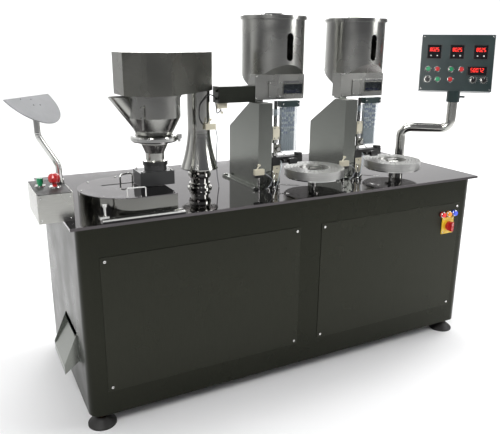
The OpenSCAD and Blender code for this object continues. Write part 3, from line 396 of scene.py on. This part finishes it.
def lathe_piece(name, outline, place, axis, key, body, steps=32):
    bm = bmesh.new()
    add_lathe(bm, outline, frame_at(place, axis), steps)
    return make(name, close(bm, name), key, body)


def tube_piece(name, anchors, radius, key, body, sides=10, smooth_path=True):
    bm = bmesh.new()
    add_tube(bm, curve_points(anchors) if smooth_path else anchors, radius, sides)
    return make(name, close(bm, name), key, body)


def block_piece(name, a, b, key, body, bevel=0.0006):
    a, b = Vector(a), Vector(b)
    bm = bmesh.new()
    add_block(bm, b - a, Matrix.Translation((a + b) / 2), bevel)
    return make(name, close(bm, name), key, body)


def bolt_outline(r, h):
    """A screw head with a chamfer and a socket."""
    socket_r, socket_z = r * 0.5, h * 0.45
    return [(0, 0), (r, 0), (r, h * 0.8), (r * 0.86, h), (socket_r, h), (socket_r, socket_z),
            (0, socket_z)]


def sleeve(inner, outer, height):
    """A plain ring's outline for a lathe."""
    return [(inner, 0), (outer, 0), (outer, height), (inner, height)]


def bolts(name, places, axis, r, h, body, key="chrome", steps=16):
    """Socket screws standing on their places, one piece."""
    bm = bmesh.new()
    for p in places:
        add_lathe(bm, bolt_outline(r, h), frame_at(p, axis), steps)
    return make(name, close(bm, name), key, body)


def part_of(node, name, key, body, wanted):
    """A copy of the loose parts of a CAD node that wanted(low corner, high corner) picks."""
    bm = bmesh.new()
    bm.from_mesh(NODES[node].data)
    bmesh.ops.remove_doubles(bm, verts=bm.verts, dist=1e-6)
    seen = set()
    drop = []
    for face in bm.faces:
        if face in seen:
            continue
        island, queue = [], [face]
        seen.add(face)
        while queue:
            f = queue.pop()
            island.append(f)
            for e in f.edges:
                for g in e.link_faces:
                    if g not in seen:
                        seen.add(g)
                        queue.append(g)
        cos = [v.co for f in island for v in f.verts]
        a = Vector(min(c[k] for c in cos) for k in range(3))
        b = Vector(max(c[k] for c in cos) for k in range(3))
        if not wanted(a, b):
            drop += island
    bmesh.ops.delete(bm, geom=drop, context="FACES")
    obj = make(name, close(bm, name), key, body)
    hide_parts(node)
    return obj


# ------------------------------------------------------------------ camera, lights and floor

CAMERA_AT = Vector((-1.3188, -2.2785, 1.4002))
CAMERA_YAW, CAMERA_PITCH, CAMERA_ROLL = (math.radians(a) for a in (27.70, -16.73, 0.579))
SENSOR = 36.0
FOCAL = 41.33


def camera():
    """The photograph's viewing angle, fitted to the work top, the cabinet and the rings."""
    ahead = Vector((math.sin(CAMERA_YAW) * math.cos(CAMERA_PITCH),
                    math.cos(CAMERA_YAW) * math.cos(CAMERA_PITCH), math.sin(CAMERA_PITCH)))
    right = ahead.cross(Vector((0, 0, 1))).normalized()
    up = right.cross(ahead)
    c, s = math.cos(CAMERA_ROLL), math.sin(CAMERA_ROLL)
    right, up = c * right + s * up, c * up - s * right
    data = bpy.data.cameras.new("camera")
    data.lens = FOCAL
    data.sensor_width = SENSOR
    data.clip_start = 0.05
    obj = bpy.data.objects.new("camera", data)
    bpy.context.scene.collection.objects.link(obj)
    turn = Matrix((right, up, -ahead)).transposed().to_4x4()
    obj.matrix_world = Matrix.Translation(CAMERA_AT) @ turn
    bpy.context.scene.camera = obj


def soft_light(name, place, aim, size, power):
    """A rectangular area light at place, turned to aim."""
    data = bpy.data.lights.new(name, "AREA")
    data.shape = "RECTANGLE"
    data.size, data.size_y = size
    data.energy = power
    obj = bpy.data.objects.new(name, data)
    bpy.context.scene.collection.objects.link(obj)
    obj.location = place
    obj.rotation_euler = (Vector(place) - Vector(aim)).to_track_quat("Z", "Y").to_euler()


def studio():
    """A world that is bright behind the machine and darker behind the camera, and soft lights."""
    world = bpy.data.worlds.new("studio")
    bpy.context.scene.world = world
    world.use_nodes = True
    nodes, links = world.node_tree.nodes, world.node_tree.links
    back = nodes["Background"]
    back.inputs["Strength"].default_value = 1.0
    coords = nodes.new("ShaderNodeTexCoord")
    towards = nodes.new("ShaderNodeVectorMath")
    towards.operation = "DOT_PRODUCT"
    towards.inputs[1].default_value = (-0.15, 1.0, -0.30)
    ramp = nodes.new("ShaderNodeValToRGB")
    ramp.color_ramp.elements[0].position = 0.0
    ramp.color_ramp.elements[0].color = (0.16, 0.16, 0.17, 1)
    ramp.color_ramp.elements[1].position = 0.55
    ramp.color_ramp.elements[1].color = (1.0, 1.0, 1.0, 1)
    links.new(coords.outputs["Generated"], towards.inputs[0])
    links.new(towards.outputs["Value"], ramp.inputs["Fac"])
    links.new(ramp.outputs["Color"], back.inputs["Color"])
    soft_light("key", (-2.6, -2.6, 3.2), (0, 0, 0.8), (1.6, 1.2), 95)
    soft_light("fill", (2.9, -2.6, 2.4), (0.2, 0, 0.8), (1.2, 1.6), 60)
    soft_light("overhead", (0.2, 0.4, 3.6), (0, 0, 0.8), (2.4, 0.8), 55)
    soft_light("rim", (0.4, 3.2, 2.6), (0, 0, 1.0), (2.4, 0.8), 50)
    soft_light("backdrop_left", (1.0, 5.0, 6.0), (2.0, 9.5, 0.5), (8.0, 3.0), 380)
    soft_light("backdrop_right", (9.0, 4.0, 6.0), (12.0, 10.0, 0.5), (9.0, 3.0), 1100)
    soft_light("floor_left", (-5.0, 1.0, 5.0), (-4.0, 3.0, 0.0), (4.0, 4.0), 70)
    soft_light("floor_right", (5.5, 1.0, 5.0), (6.0, 3.0, 0.0), (4.0, 4.0), 420)


def floor():
    """A pale floor that curves up into a backdrop far behind the machine."""
    reach, back_y, bend, wall, steps = 14.0, 9.0, 3.0, 3.3, 12
    profile = [(-reach, 0.0)]
    for k in range(steps + 1):
        a = math.pi / 2 * k / steps
        profile.append((back_y + bend * math.sin(a), bend * (1 - math.cos(a))))
    profile.append((back_y + bend, wall))
    bm = bmesh.new()
    rows = [[bm.verts.new((x, y, z)) for x in (-reach * 1.5, reach * 1.5)] for y, z in profile]
    for a, b in zip(rows, rows[1:]):
        bm.faces.new([a[0], a[1], b[1], b[0]])
    obj = bpy.data.objects.new("floor", close(bm, "floor"))
    bpy.context.scene.collection.objects.link(obj)
    s = Shader("floor_pale").put(Metallic=0.0)
    cloud = s.noise(0.8)
    s.feed(s.colours(cloud, (0.86, 0.86, 0.86), (0.89, 0.89, 0.89)), "Base Color")
    s.feed(s.ramp(cloud, 0.75, 0.85), "Roughness")
    obj.data.materials.append(s.mat)


# ------------------------------------------------------------------ pieces on the cabinet

def on_top(x, y, z):
    """A point from the work top's front left corner, in millimetres, z up from its face."""
    corner = low("table_top")
    return Vector((corner.x + x * MM, corner.y + y * MM, TOP_Z + z * MM))


def lamps():
    """The pilot lamps as three lenses, each with a bright bezel behind its face."""
    mid = middle("pilot_lamps").x
    bezel_back = 0.0102
    for name, key, wanted in (
            ("lamp_red", "lamp_red", lambda a, b: b.x < mid - 0.01),
            ("lamp_amber", "lamp_amber", lambda a, b: a.x < mid < b.x),
            ("lamp_blue", "lamp_blue", lambda a, b: a.x > mid + 0.01)):
        lens = part_of("pilot_lamps", name, key, "machine", wanted)
        centre = sum((Vector(v.co) for v in lens.data.vertices), Vector()) / len(lens.data.vertices)
        face = min(v.co.y for v in lens.data.vertices)
        lathe_piece(name + "_bezel",
                    [(0.0112, 0), (0.0146, 0), (0.0146, 0.0035), (0.0135, 0.005), (0.0112, 0.005)],
                    (centre.x, face + bezel_back, centre.z), FRONT, "chrome", "machine")


def feet():
    """The levelling feet as pads and stems, with a hexagonal locknut on each stem."""
    part_of("levelling_feet", "foot_pads", "rubber", "machine",
            lambda a, b: a.z < 0.001)
    part_of("levelling_feet", "foot_stems", "zinc", "machine",
            lambda a, b: a.z >= 0.001)
    a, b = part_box("levelling_feet")
    pad_radius, nut_z = 0.054, 0.0365
    nut = [(0.0095, 0), (0.019, 0), (0.0205, 0.002), (0.0205, 0.010), (0.019, 0.012),
           (0.0095, 0.012)]
    bm = bmesh.new()
    for x in (a.x + pad_radius, b.x - pad_radius):
        for y in (a.y + pad_radius, b.y - pad_radius):
            add_lathe(bm, nut, Matrix.Translation((x, y, nut_z)), 6)
    make("foot_locknuts", close(bm, "foot_locknuts"), "copper", "machine")


def switch_details():
    """The main switch plate's screws and the mark on its knob."""
    a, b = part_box("main_switch_plate")
    inset = 0.008
    places = [(x, a.y + 0.006, z) for x in (a.x + inset, b.x - inset)
              for z in (a.z + inset, b.z - inset)]
    bolts("main_switch_screws", places, FRONT, 0.0032, 0.0016, "machine")
    k = middle("main_switch_knob")
    front = low("main_switch_knob").y
    block_piece("main_switch_mark", (k.x - 0.0012, front - 0.0002, k.z + 0.006),
                (k.x + 0.0012, front + 0.0006, k.z + 0.019), "white", "main_switch",
                0)


# ------------------------------------------------------------------ operator box

def holed_plate(name, a, b, holes, key, body, thickness):
    """A thin plate from corner a to corner b (x, y at z), with round holes (x, y, r)."""
    loops = [[(a[0], a[1]), (b[0], a[1]), (b[0], b[1]), (a[0], b[1])]]
    for x, y, r in holes:
        loops.append([(x + r * math.cos(t), y - r * math.sin(t))
                      for t in (2 * math.pi * k / 40 for k in range(40))])
    outline = [[Vector((x, y, a[2])) for x, y in loop] for loop in loops]
    bm = bmesh.new()
    verts = [bm.verts.new(p) for loop in outline for p in loop]
    faces = [bm.faces.new([verts[k] for k in corners]) for corners in tessellate_polygon(outline)]
    top = bmesh.ops.extrude_face_region(bm, geom=faces)["geom"]
    bmesh.ops.translate(bm, verts=[v for v in top if isinstance(v, bmesh.types.BMVert)],
                        vec=(0, 0, thickness))
    return make(name, close(bm, name), key, body)


def operator_box_details():
    """The operator box's dark top, its buttons' bezels and arrows, and its front screws."""
    a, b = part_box("operator_box")
    plate_z = TOP_Z + 0.100
    holes = [(middle(n).x, middle(n).y, r)
             for n, r in (("start_button", 0.0152), ("stop_button", 0.0172))]
    arm = JOINTS["shield_arm_swivel"]["pos_m"]
    holes.append((arm[0], arm[1], 0.0165))
    holed_plate("operator_box_top", (a.x + 0.002, a.y + 0.002, plate_z + 0.0001),
                (b.x - 0.002, b.y - 0.002, 0), holes, "rubber", "machine", 0.0012)
    for n, r in (("start_button", 0.0155), ("stop_button", 0.0175)):
        m = middle(n)
        lathe_piece(n + "_bezel", [(r, 0), (r + 0.004, 0), (r + 0.003, 0.003), (r, 0.003)],
                    (m.x, m.y, plate_z + 0.0013), UP, "chrome", "machine")
    m = middle("stop_button")
    top = high("stop_button").z
    for turn in range(3):
        angle = 2 * math.pi * turn / 3
        place = (m.x + 0.0055 * math.cos(angle), m.y + 0.0055 * math.sin(angle), top - 0.0002)
        bm = bmesh.new()
        add_block(bm, (0.005, 0.0015, 0.0008),
                  Matrix.Translation(place) @ Matrix.Rotation(angle + 1.57, 4, "Z"), 0.0002)
        make(f"stop_arrow_{turn + 1}", close(bm, "arrow"), "white", "stop")
    front = [(x, a.y, z) for x in (a.x + 0.010, b.x - 0.010)
             for z in (TOP_Z + 0.010, TOP_Z + 0.088)]
    bolts("operator_box_screws", front, FRONT, 0.0035, 0.002, "machine")


# ------------------------------------------------------------------ control console

class Face:
    """The console's front: x right and y down from its upper left corner, in millimetres."""

    def __init__(self):
        self.inward = Vector(JOINTS["console_button_1_press"]["axis"])
        self.right = Vector((self.inward.y, -self.inward.x, 0)).normalized()
        self.up = self.right.cross(self.inward)
        selector = Vector(JOINTS["console_selector_turn"]["pos_m"])
        self.corner = selector - self.right * 0.038 + self.up * 0.220

    def at(self, x, y, out=0.0):
        return self.corner + self.right * x * MM - self.up * y * MM - self.inward * out * MM

    def matrix(self, x, y, out=0.0):
        turn = Matrix((self.right, self.up, -self.inward)).transposed().to_4x4()
        return Matrix.Translation(self.at(x, y, out)) @ turn

    def block(self, bm, x, y, out, size, bevel=0.0004):
        add_block(bm, [s * MM for s in size], self.matrix(x, y, out), bevel)


SEGMENTS = {"a": (0, 1, 0), "b": (0.5, 0.5, 1), "c": (0.5, -0.5, 1), "d": (0, -1, 0),
            "e": (-0.5, -0.5, 1), "f": (-0.5, 0.5, 1), "g": (0, 0, 0)}
LIT = {0: "abcdef", 1: "bc", 2: "abged", 5: "afgcd", 7: "abc", 8: "abcdefg"}


def digit_row(bm, face, x, y, out, count, pitch, height, pattern):
    """Seven-segment figures, made of thin bars."""
    half = height / 2
    for k in range(count):
        cx = x + (k - (count - 1) / 2) * pitch
        for key in LIT[pattern[k % len(pattern)]]:
            sx, sy, upright = SEGMENTS[key]
            length = half * 0.82 if upright else pitch * 0.52
            size = (1.3, length, 0.3) if upright else (length, 1.3, 0.3)
            face.block(bm, cx + sx * pitch * 0.60, y - sy * half, out, size, 0)


def display(face, glass, frames, x, y, width, height):
    """A dark window centred on x, y, with four bars round it."""
    bar, deep, overlap, spacing = 2.6, 1.8, 6, 3.8
    face.block(glass, x, y, -0.9, (width, height, 1.1))
    for side in (-1, 1):
        face.block(frames, x, y + side * (height + spacing) / 2, 0.8, (width + overlap, bar, deep))
        face.block(frames, x + side * (width + spacing) / 2, y, 0.8, (bar, height + overlap, deep))


def console_displays(face):
    """Three displays with two keys each, and the counter."""
    glass, digits, frames, keys = (bmesh.new() for _ in range(4))
    y, size = 84, 65
    for x in (62, 171, 283):
        display(face, glass, frames, x, y, size, size)
        digit_row(digits, face, x, y - 11, -0.1, 4, 11.5, 17, (8, 0, 2, 5))
        for side in (-1, 1):
            add_lathe(keys, [(0, 0), (0.0032, 0), (0.0032, 0.0012), (0.0026, 0.0018), (0, 0.0018)],
                      face.matrix(x + side * 15, y + 19, -0.3), 20)
    x, y = 272, 176
    display(face, glass, frames, x, y, 91, 41)
    digit_row(digits, face, x, y - 4, -0.1, 5, 13, 18, (5, 8, 0, 7, 2))
    for bm, name, key, slot in ((glass, "display_glass", "glassblack", "knob_black"),
                                (digits, "display_digits", "digits", "button_red"),
                                (frames, "display_frames", "black", "black_plastic"),
                                (keys, "display_keys", "white", "ivory_plastic")):
        make(name, close(bm, name), key, "console")


def console_controls(face):
    """Bezels round the push buttons, and rings with eleven ticks round the selector and knobs."""
    row_1, row_2 = 170, 220
    rings = bmesh.new()
    for x, y in ((38, row_1), (82, row_1), (148, row_1), (197, row_1), (86, row_2), (147, row_2)):
        add_lathe(rings, [(0.0112, 0), (0.0158, 0), (0.0158, 0.0028), (0.0142, 0.0046),
                          (0.0112, 0.0046)], face.matrix(x, y, 0.0), 32)
    make("button_bezels", close(rings, "button_bezels"), "chrome", "console")
    caps, ticks = bmesh.new(), bmesh.new()
    dial_r = 20
    for x in (38, 256, 306):
        add_lathe(caps, sleeve(0.0132, 0.0168, 0.0006), face.matrix(x, row_2, 0.0), 40)
        for k in range(11):
            a = math.radians(225 - 27 * k)
            spot = face.matrix(x + dial_r * math.cos(a), row_2 - dial_r * math.sin(a), 0.1)
            add_block(ticks, (0.0032, 0.0008, 0.0004), spot @ Matrix.Rotation(a, 4, "Z"), 0)
    make("dial_rings", close(caps, "dial_rings"), "satin", "console")
    make("dial_ticks", close(ticks, "dial_ticks"), "white", "console")


def console_details():
    """Everything on the console: displays, controls, screws, pointers and vents."""
    face = Face()
    console_displays(face)
    console_controls(face)
    corners = [face.at(x, y) for x in (9, 337) for y in (9, 267)]
    bolts("console_screws", corners, -face.inward, 0.0038, 0.0022, "console")
    for n, body, x in (("console_knob_1", "knob_1", 256), ("console_knob_2", "knob_2", 306)):
        bm = bmesh.new()
        face.block(bm, x, 213, 15.9, (1.3, 7, 0.5), 0)
        make(n + "_pointer", close(bm, n), "white", body)
    # louvres in both sides of the box
    depth, first, pitch = 30, 96, 9
    vents = bmesh.new()
    for side in (0.2, 345.8):
        for k in range(5):
            add_block(vents, (0.0006, 0.0032, 0.026),
                      face.matrix(side, first + k * pitch, -depth), 0)
    make("console_vents", close(vents, "console_vents"), "black", "console")


# ------------------------------------------------------------------ capsules

CAPSULE_R = 0.0036
CAPSULE_L = 0.0205


def add_capsule(cap, shell, matrix, steps=12):
    """One capsule: its cap goes to one mesh and its body to the other."""
    r, half = CAPSULE_R, CAPSULE_L / 2
    arc = [(math.sin(a), math.cos(a)) for a in (math.pi / 2 * k / 4 for k in range(5))]
    top = [(r * s, half - r + r * c) for s, c in arc]
    cap_outline = top + [(r, 0.0), (0.0, 0.0)]
    add_lathe(cap, cap_outline[::-1], matrix, steps)
    low_r = r * 0.95
    bottom = [(low_r * s, -(half - r) - low_r * c) for s, c in arc]
    add_lathe(shell, bottom + [(low_r, -0.00002), (0.0, -0.00002)], matrix, steps)


def station(i, dx, dy, z):
    """A point from the centre of loader i's turntable, in millimetres, z up from the work top."""
    c = middle(f"ring_{i}")
    return Vector((c.x + dx * MM, c.y + dy * MM, TOP_Z + z * MM))


def magazine_capsules(i):
    """Six columns of capsules in the clear magazine, with its backing plate."""
    a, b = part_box(f"loader_{i}_magazine")
    channels, step = 6, 0.011
    side, wall = -148, 6
    x0 = station(i, side + wall + 5.5, 0, 0).x
    y = station(i, 0, 52, 0).y
    caps, shells = bmesh.new(), bmesh.new()
    rng = random.Random(40 + i)
    for k in range(channels):
        z = b.z - 0.016
        floor_z = a.z + 0.060 + 0.02 * rng.random()
        while z - CAPSULE_L > floor_z:
            flip = rng.random() < 0.5
            spot = Matrix.Translation((x0 + k * step, y, z - CAPSULE_L / 2))
            if flip:
                spot = spot @ Matrix.Rotation(math.pi, 4, "X")
            add_capsule(caps, shells, spot)
            z -= CAPSULE_L + 0.0002
    left, right = station(i, -146, 61.6, 0), station(i, -72, 62.2, 0)
    block_piece(f"magazine_{i}_back", (left.x, left.y, a.z + 0.001),
                (right.x, right.y, b.z - 0.030), "cablegrey", f"magazine_{i}", 0)
    make(f"magazine_{i}_caps", close(caps, "caps"), "blue", f"magazine_{i}")
    make(f"magazine_{i}_shells", close(shells, "shells"), "white", f"magazine_{i}")


def box_capsules(i):
    """Capsules heaped behind the feed box's window."""
    caps, shells = bmesh.new(), bmesh.new()
    rng = random.Random(70 + i)
    for row in range(4):
        for k in range(13):
            x = -141 + k * 10.4 + rng.uniform(-2, 2)
            y = 122 + rng.uniform(-3, 3) + (row % 2) * 9
            z = 376 + row * 7.2 + rng.uniform(-1, 1)
            tilt = Matrix.Rotation(rng.uniform(0.9, 2.2), 4, "X")
            lean = Matrix.Rotation(rng.uniform(-0.8, 0.8), 4, "Y")
            spot = Matrix.Translation(station(i, x, y, z))
            add_capsule(caps, shells, spot @ (tilt @ lean), 10)
    make(f"feed_{i}_caps", close(caps, "caps"), "blue", "machine")
    make(f"feed_{i}_shells", close(shells, "shells"), "white", "machine")


# ------------------------------------------------------------------ loaders

def helix(start, radius, turns, height, steps=16):
    """Points along an upright coil that begins at start."""
    count = turns * steps
    return [Vector(start) + Vector((radius * math.cos(2 * math.pi * k / steps),
                                    radius * math.sin(2 * math.pi * k / steps),
                                    height * k / count))
            for k in range(count + 1)]


def feed_box_details(i):
    """The feed box's window with its frame and strip, and the screws of the box and its door."""
    face, door = 107, 103
    left, right, bottom, top = -104, -8, 387, 429
    bar, thin = 0.003, 0.0016
    block_piece(f"feed_{i}_window", station(i, left + 0.2, face + 0.2, bottom + 0.2),
                station(i, right - 0.2, face + 1.8, top - 0.2), "window", "machine",
                0)
    block_piece(f"feed_{i}_strip", station(i, left, face - 1.4, top + 2),
                station(i, right + 4, face, top + 13), "chrome", "machine", 0.0003)
    bars = bmesh.new()
    for z in (bottom - 0.5, top + 0.5):
        add_block(bars, ((right - left + 5) * MM, thin, bar),
                  Matrix.Translation(station(i, (left + right) / 2, face - 0.8, z)), 0.0004)
    for x in (left - 1.5, right + 1.5):
        add_block(bars, (bar, thin, (top - bottom + 2) * MM),
                  Matrix.Translation(station(i, x, face - 0.8, (bottom + top) / 2)), 0.0004)
    make(f"feed_{i}_window_frame", close(bars, "bars"), "dark", "machine")
    bolts(f"feed_{i}_screws", [station(i, x, face, z) for x in (-234, -6) for z in (372, 462)],
          FRONT, 0.0035, 0.002, "machine")
    bolts(f"feed_{i}_door_screws",
          [station(i, x, door, z) for x in (-172, -122) for z in (379, 435)],
          FRONT, 0.0028, 0.0018, "machine")


def rod_details(i):
    """The guide rod's spring, collars and bearing, and the bracket, roller and lever beside it."""
    rod = station(i, -172, 52, 0)
    coil = bmesh.new()
    add_tube(coil, helix((rod.x, rod.y, TOP_Z + 0.262), 0.0092, 9, 0.040), 0.0011, 8)
    make(f"rod_{i}_spring", close(coil, "spring"), "chrome", "machine")
    for n, z, height in (("low", 134, 12), ("mid", 188, 14)):
        lathe_piece(f"rod_{i}_collar_{n}", sleeve(0.0072, 0.0125, height * MM),
                    (rod.x, rod.y, TOP_Z + z * MM), UP, "chrome", "machine")
    block_piece(f"rod_{i}_bearing", station(i, -190, 36, 204), station(i, -158, 40, 260), "ivory",
                "machine", 0.001)
    bolts(f"rod_{i}_bearing_screws",
          [station(i, x, 36, z) for x in (-184, -164) for z in (211, 253)],
          FRONT, 0.003, 0.003, "machine")
    block_piece(f"rod_{i}_bracket", station(i, -194, 24, 150), station(i, -158, 28, 186), "dark",
                "machine", 0.0006)
    for k, (x, z) in enumerate(((-188, 156), (-188, 178), (-166, 156), (-166, 178))):
        bolts(f"rod_{i}_bracket_screw_{k + 1}", [station(i, x, 24, z)], FRONT, 0.0032, 0.0035,
              "machine")
    lathe_piece(f"rod_{i}_roller", [(0, 0), (0.008, 0), (0.008, 0.006), (0, 0.006)],
                station(i, -176, 18, 168), FRONT, "chrome", "machine", 24)
    tube_piece(f"rod_{i}_lever",
               [station(i, *p) for p in ((-176, 14, 168), (-158, 14, 150), (-140, 14, 140))],
               0.0022, "chrome", "machine")


def magazine_holder(i):
    """The dark holder round the magazine's upper end, a skin on three of its sides."""
    body = f"magazine_{i}"
    skin, tall, z = 0.0006, 0.0245, 352
    holder = bmesh.new()
    for size, place in (((0.0894, skin, tall), (-109, 34.7, z)),
                        ((skin, 0.0342, tall), (-153.3, 52, z)),
                        ((skin, 0.0342, tall), (-64.7, 52, z))):
        add_block(holder, size, Matrix.Translation(station(i, *place)), 0)
    make(f"magazine_{i}_holder", close(holder, "holder"), "console", body)
    bolts(f"magazine_{i}_holder_screws", [station(i, x, 34.4, z) for x in (-146, -72)], FRONT,
          0.0035, 0.003, body)


def shoe_details(i):
    """The ledge that closes the magazine's channels, the shoe's screws and its ivory post cover."""
    block_piece(f"shoe_{i}_ledge", station(i, -66, 36, 128.2), station(i, -42, 66, 140), "black",
                "machine", 0.001)
    bolts(f"shoe_{i}_screws", [station(i, x, y, 128) for x in (-185, -45) for y in (43, 60)], UP,
          0.0034, 0.004, "machine")
    block_piece(f"shoe_{i}_post_cover", station(i, -188, 34, 24), station(i, -154, 37, 92), "ivory",
                "machine", 0.001)
    bolts(f"shoe_{i}_post_screws", [station(i, -171, 34, z) for z in (34, 58, 82)], FRONT, 0.003,
          0.003, "machine")


def leads(i):
    """The limit switch's black base, stand and lead, and a clear hose from the shoe."""
    a = station(i, -292, 2, 66)
    block_piece(f"switch_{i}_base", (a.x + 0.001, a.y + 0.003, a.z - 0.012),
                (a.x + 0.043, a.y + 0.016, a.z - 0.0002), "black", "machine",
                0.0008)
    tube_piece(f"switch_{i}_stand",
               [(a.x + 0.022, a.y + 0.010, a.z - 0.010), (a.x + 0.022, a.y + 0.010, TOP_Z)],
               0.004, "chrome", "machine", 12, False)
    route = [(-232, 2, 62), (-206, 8, 40), (-214, 14, 14), (-236, 10, 0.5)]
    tube_piece(f"switch_{i}_lead",
               [(a.x + 0.040, a.y + 0.006, a.z + 0.008)] + [station(i, *p) for p in route],
               0.0021, "cablegrey", "machine")
    route = [(-150, 36, 112), (-158, 14, 100), (-174, 4, 60), (-180, 8, 20), (-184, 16, 0.5)]
    tube_piece(f"shoe_{i}_hose", [station(i, *p) for p in route], 0.0032, "hose", "machine")


def fittings(i):
    """Fittings, a pipe and a rod on the work top, and the bolts of the column's foot plate."""
    for k, (x, y, h, r) in enumerate(((-214, -20, 16, 7), (-186, -8, 24, 5.5), (-236, -10, 12, 6))):
        outline = [(0, 0), (r * 1.5, 0), (r * 1.5, 3), (r, 3.2), (r, h - 1), (r * 0.8, h), (0, h)]
        lathe_piece(f"fitting_{i}_{k + 1}", [(radius * MM, z * MM) for radius, z in outline],
                    station(i, x, y, 0), UP, "chrome", "machine", 20)
    route = [(-214, -20, 15), (-212, -16, 40), (-200, 4, 62), (-190, 30, 70)]
    tube_piece(f"fitting_{i}_pipe", [station(i, *p) for p in route], 0.0024, "chrome", "machine")
    route = [(-186, -8, 22), (-150, -24, 18), (-116, -62, 22)]
    tube_piece(f"fitting_{i}_rod", [station(i, *p) for p in route], 0.0016, "chrome", "machine")
    bolts(f"column_{i}_bolts", [station(i, x, y, 8) for x in (-285, -203) for y in (24, 320)], UP,
          0.005, 0.005, "machine")


def lid_bead(i):
    """The bright bead along the lid's edge."""
    inner, outer, base, top = 0.1375, 0.1425, 0.0001, 0.0012
    lid = middle(f"loader_{i}_lid")
    lathe_piece(f"lid_{i}_bead", [(inner, base), (outer, base), (outer, top), (inner, top)],
                (lid.x, lid.y, station(i, 0, 0, 707).z), UP, "chrome", f"lid_{i}",
                64)


def loader_details(i):
    """Everything small on loader i, in a fixed order."""
    feed_box_details(i)
    rod_details(i)
    magazine_holder(i)
    shoe_details(i)
    leads(i)
    fittings(i)
    lid_bead(i)


# ------------------------------------------------------------------ filling station

def pillar_details():
    """The pillar's foot bolts and the leads that run up, across and down beside it."""
    x, y, bolt_circle = 612, 352, 46
    bolts("pillar_bolts", [on_top(x + bolt_circle * math.cos(a), y + bolt_circle * math.sin(a), 7)
                           for a in (math.radians(15 + 60 * k) for k in range(6))],
          UP, 0.0042, 0.005, "machine")
    up = [(606, 290, 276), (592, 296, 306), (596, 300, 350), (612, 300, 372), (640, 306, 392),
          (664, 326, 388), (686, 328, 372)]
    under_arm = [(700, 318, 330), (676, 306, 318), (668, 300, 346), (672, 318, 372),
                 (681, 330, 380)]
    down = [(660, 292, 262), (672, 300, 220), (668, 300, 150), (676, 312, 60), (688, 320, 0.5)]
    tube_piece("pillar_cable", [on_top(*p) for p in up], 0.0022, "cable", "machine")
    tube_piece("arm_cable", [on_top(*p) for p in under_arm], 0.0020, "cable", "machine")
    tube_piece("pillar_lead", [on_top(*p) for p in down], 0.0020, "cablegrey", "machine")


def housing_details():
    """The bright brackets that stand on the filling housing, and the screws of its cover."""
    front = [(216, 62, 68), (216, 62, 99), (219, 62, 102), (279, 56, 102), (282, 56, 99),
             (282, 56, 68)]
    tube_piece("cover_bracket", [on_top(*p) for p in front], 0.0022, "white", "machine",
               10, False)
    back = [(256, 300, 68), (256, 300, 92), (266, 306, 98), (300, 318, 98), (310, 322, 90),
            (310, 322, 68)]
    tube_piece("cover_bracket_back", [on_top(*p) for p in back], 0.0035, "chrome", "machine")
    places = ((390, 60), (390, 404), (263, 58), (263, 406), (92, 232), (141, 110), (141, 354))
    bolts("cover_screws", [on_top(x, y, 68) for x, y in places], UP, 0.0042, 0.0022, "machine")


def head_details():
    """The filling head's screws, the grip on its cover, the throat's collar and the powder."""
    a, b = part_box("dosing_shoe")
    bolts("dosing_shoe_bolts", [(x, y, TOP_Z + 0.123) for x in (a.x + 0.010, b.x - 0.010)
                                for y in (a.y + 0.010, b.y - 0.010)],
          UP, 0.0045, 0.005, "filling_head")
    pivot = JOINTS["head_swing"]["pos_m"]
    axis = JOINTS["auger_spin"]["pos_m"]
    bolt_circle, pivot_room = 0.112, 0.08
    cover_z = low("head_cover").z
    screws = []
    for k in range(8):
        angle = math.radians(45 * k)
        screws.append(Vector((axis[0] + bolt_circle * math.cos(angle),
                              axis[1] + bolt_circle * math.sin(angle), cover_z)))
    bolts("head_plate_screws", [s for s in screws if s.x < pivot[0] - pivot_room], DOWN, 0.004,
          0.003, "filling_head")
    top = high("head_cover").z
    block_piece("head_cover_grip", (axis[0] - 0.040, axis[1] - 0.006, top - 0.0012),
                (axis[0] + 0.040, axis[1] + 0.006, top + 0.0006), "chrome", "filling_head",
                0.0004)
    lathe_piece("throat_collar", sleeve(0.0461, 0.0475, 0.016), (axis[0], axis[1], TOP_Z + 0.1435),
                UP, "black", "filling_head", 48)
    lathe_piece("powder",
                [(0.0125, 0), (0.064, 0), (0.079, 0.030), (0.055, 0.040), (0.0125, 0.046)],
                (axis[0], axis[1], TOP_Z + 0.262), UP, "powder", "filling_head",
                48)



lamps()
feet()
switch_details()
operator_box_details()
console_details()
for i in (1, 2):
    magazine_capsules(i)
    box_capsules(i)
    loader_details(i)
pillar_details()
housing_details()
head_details()


camera()
studio()
floor()
bpy.context.scene.view_settings.view_transform = "Standard"
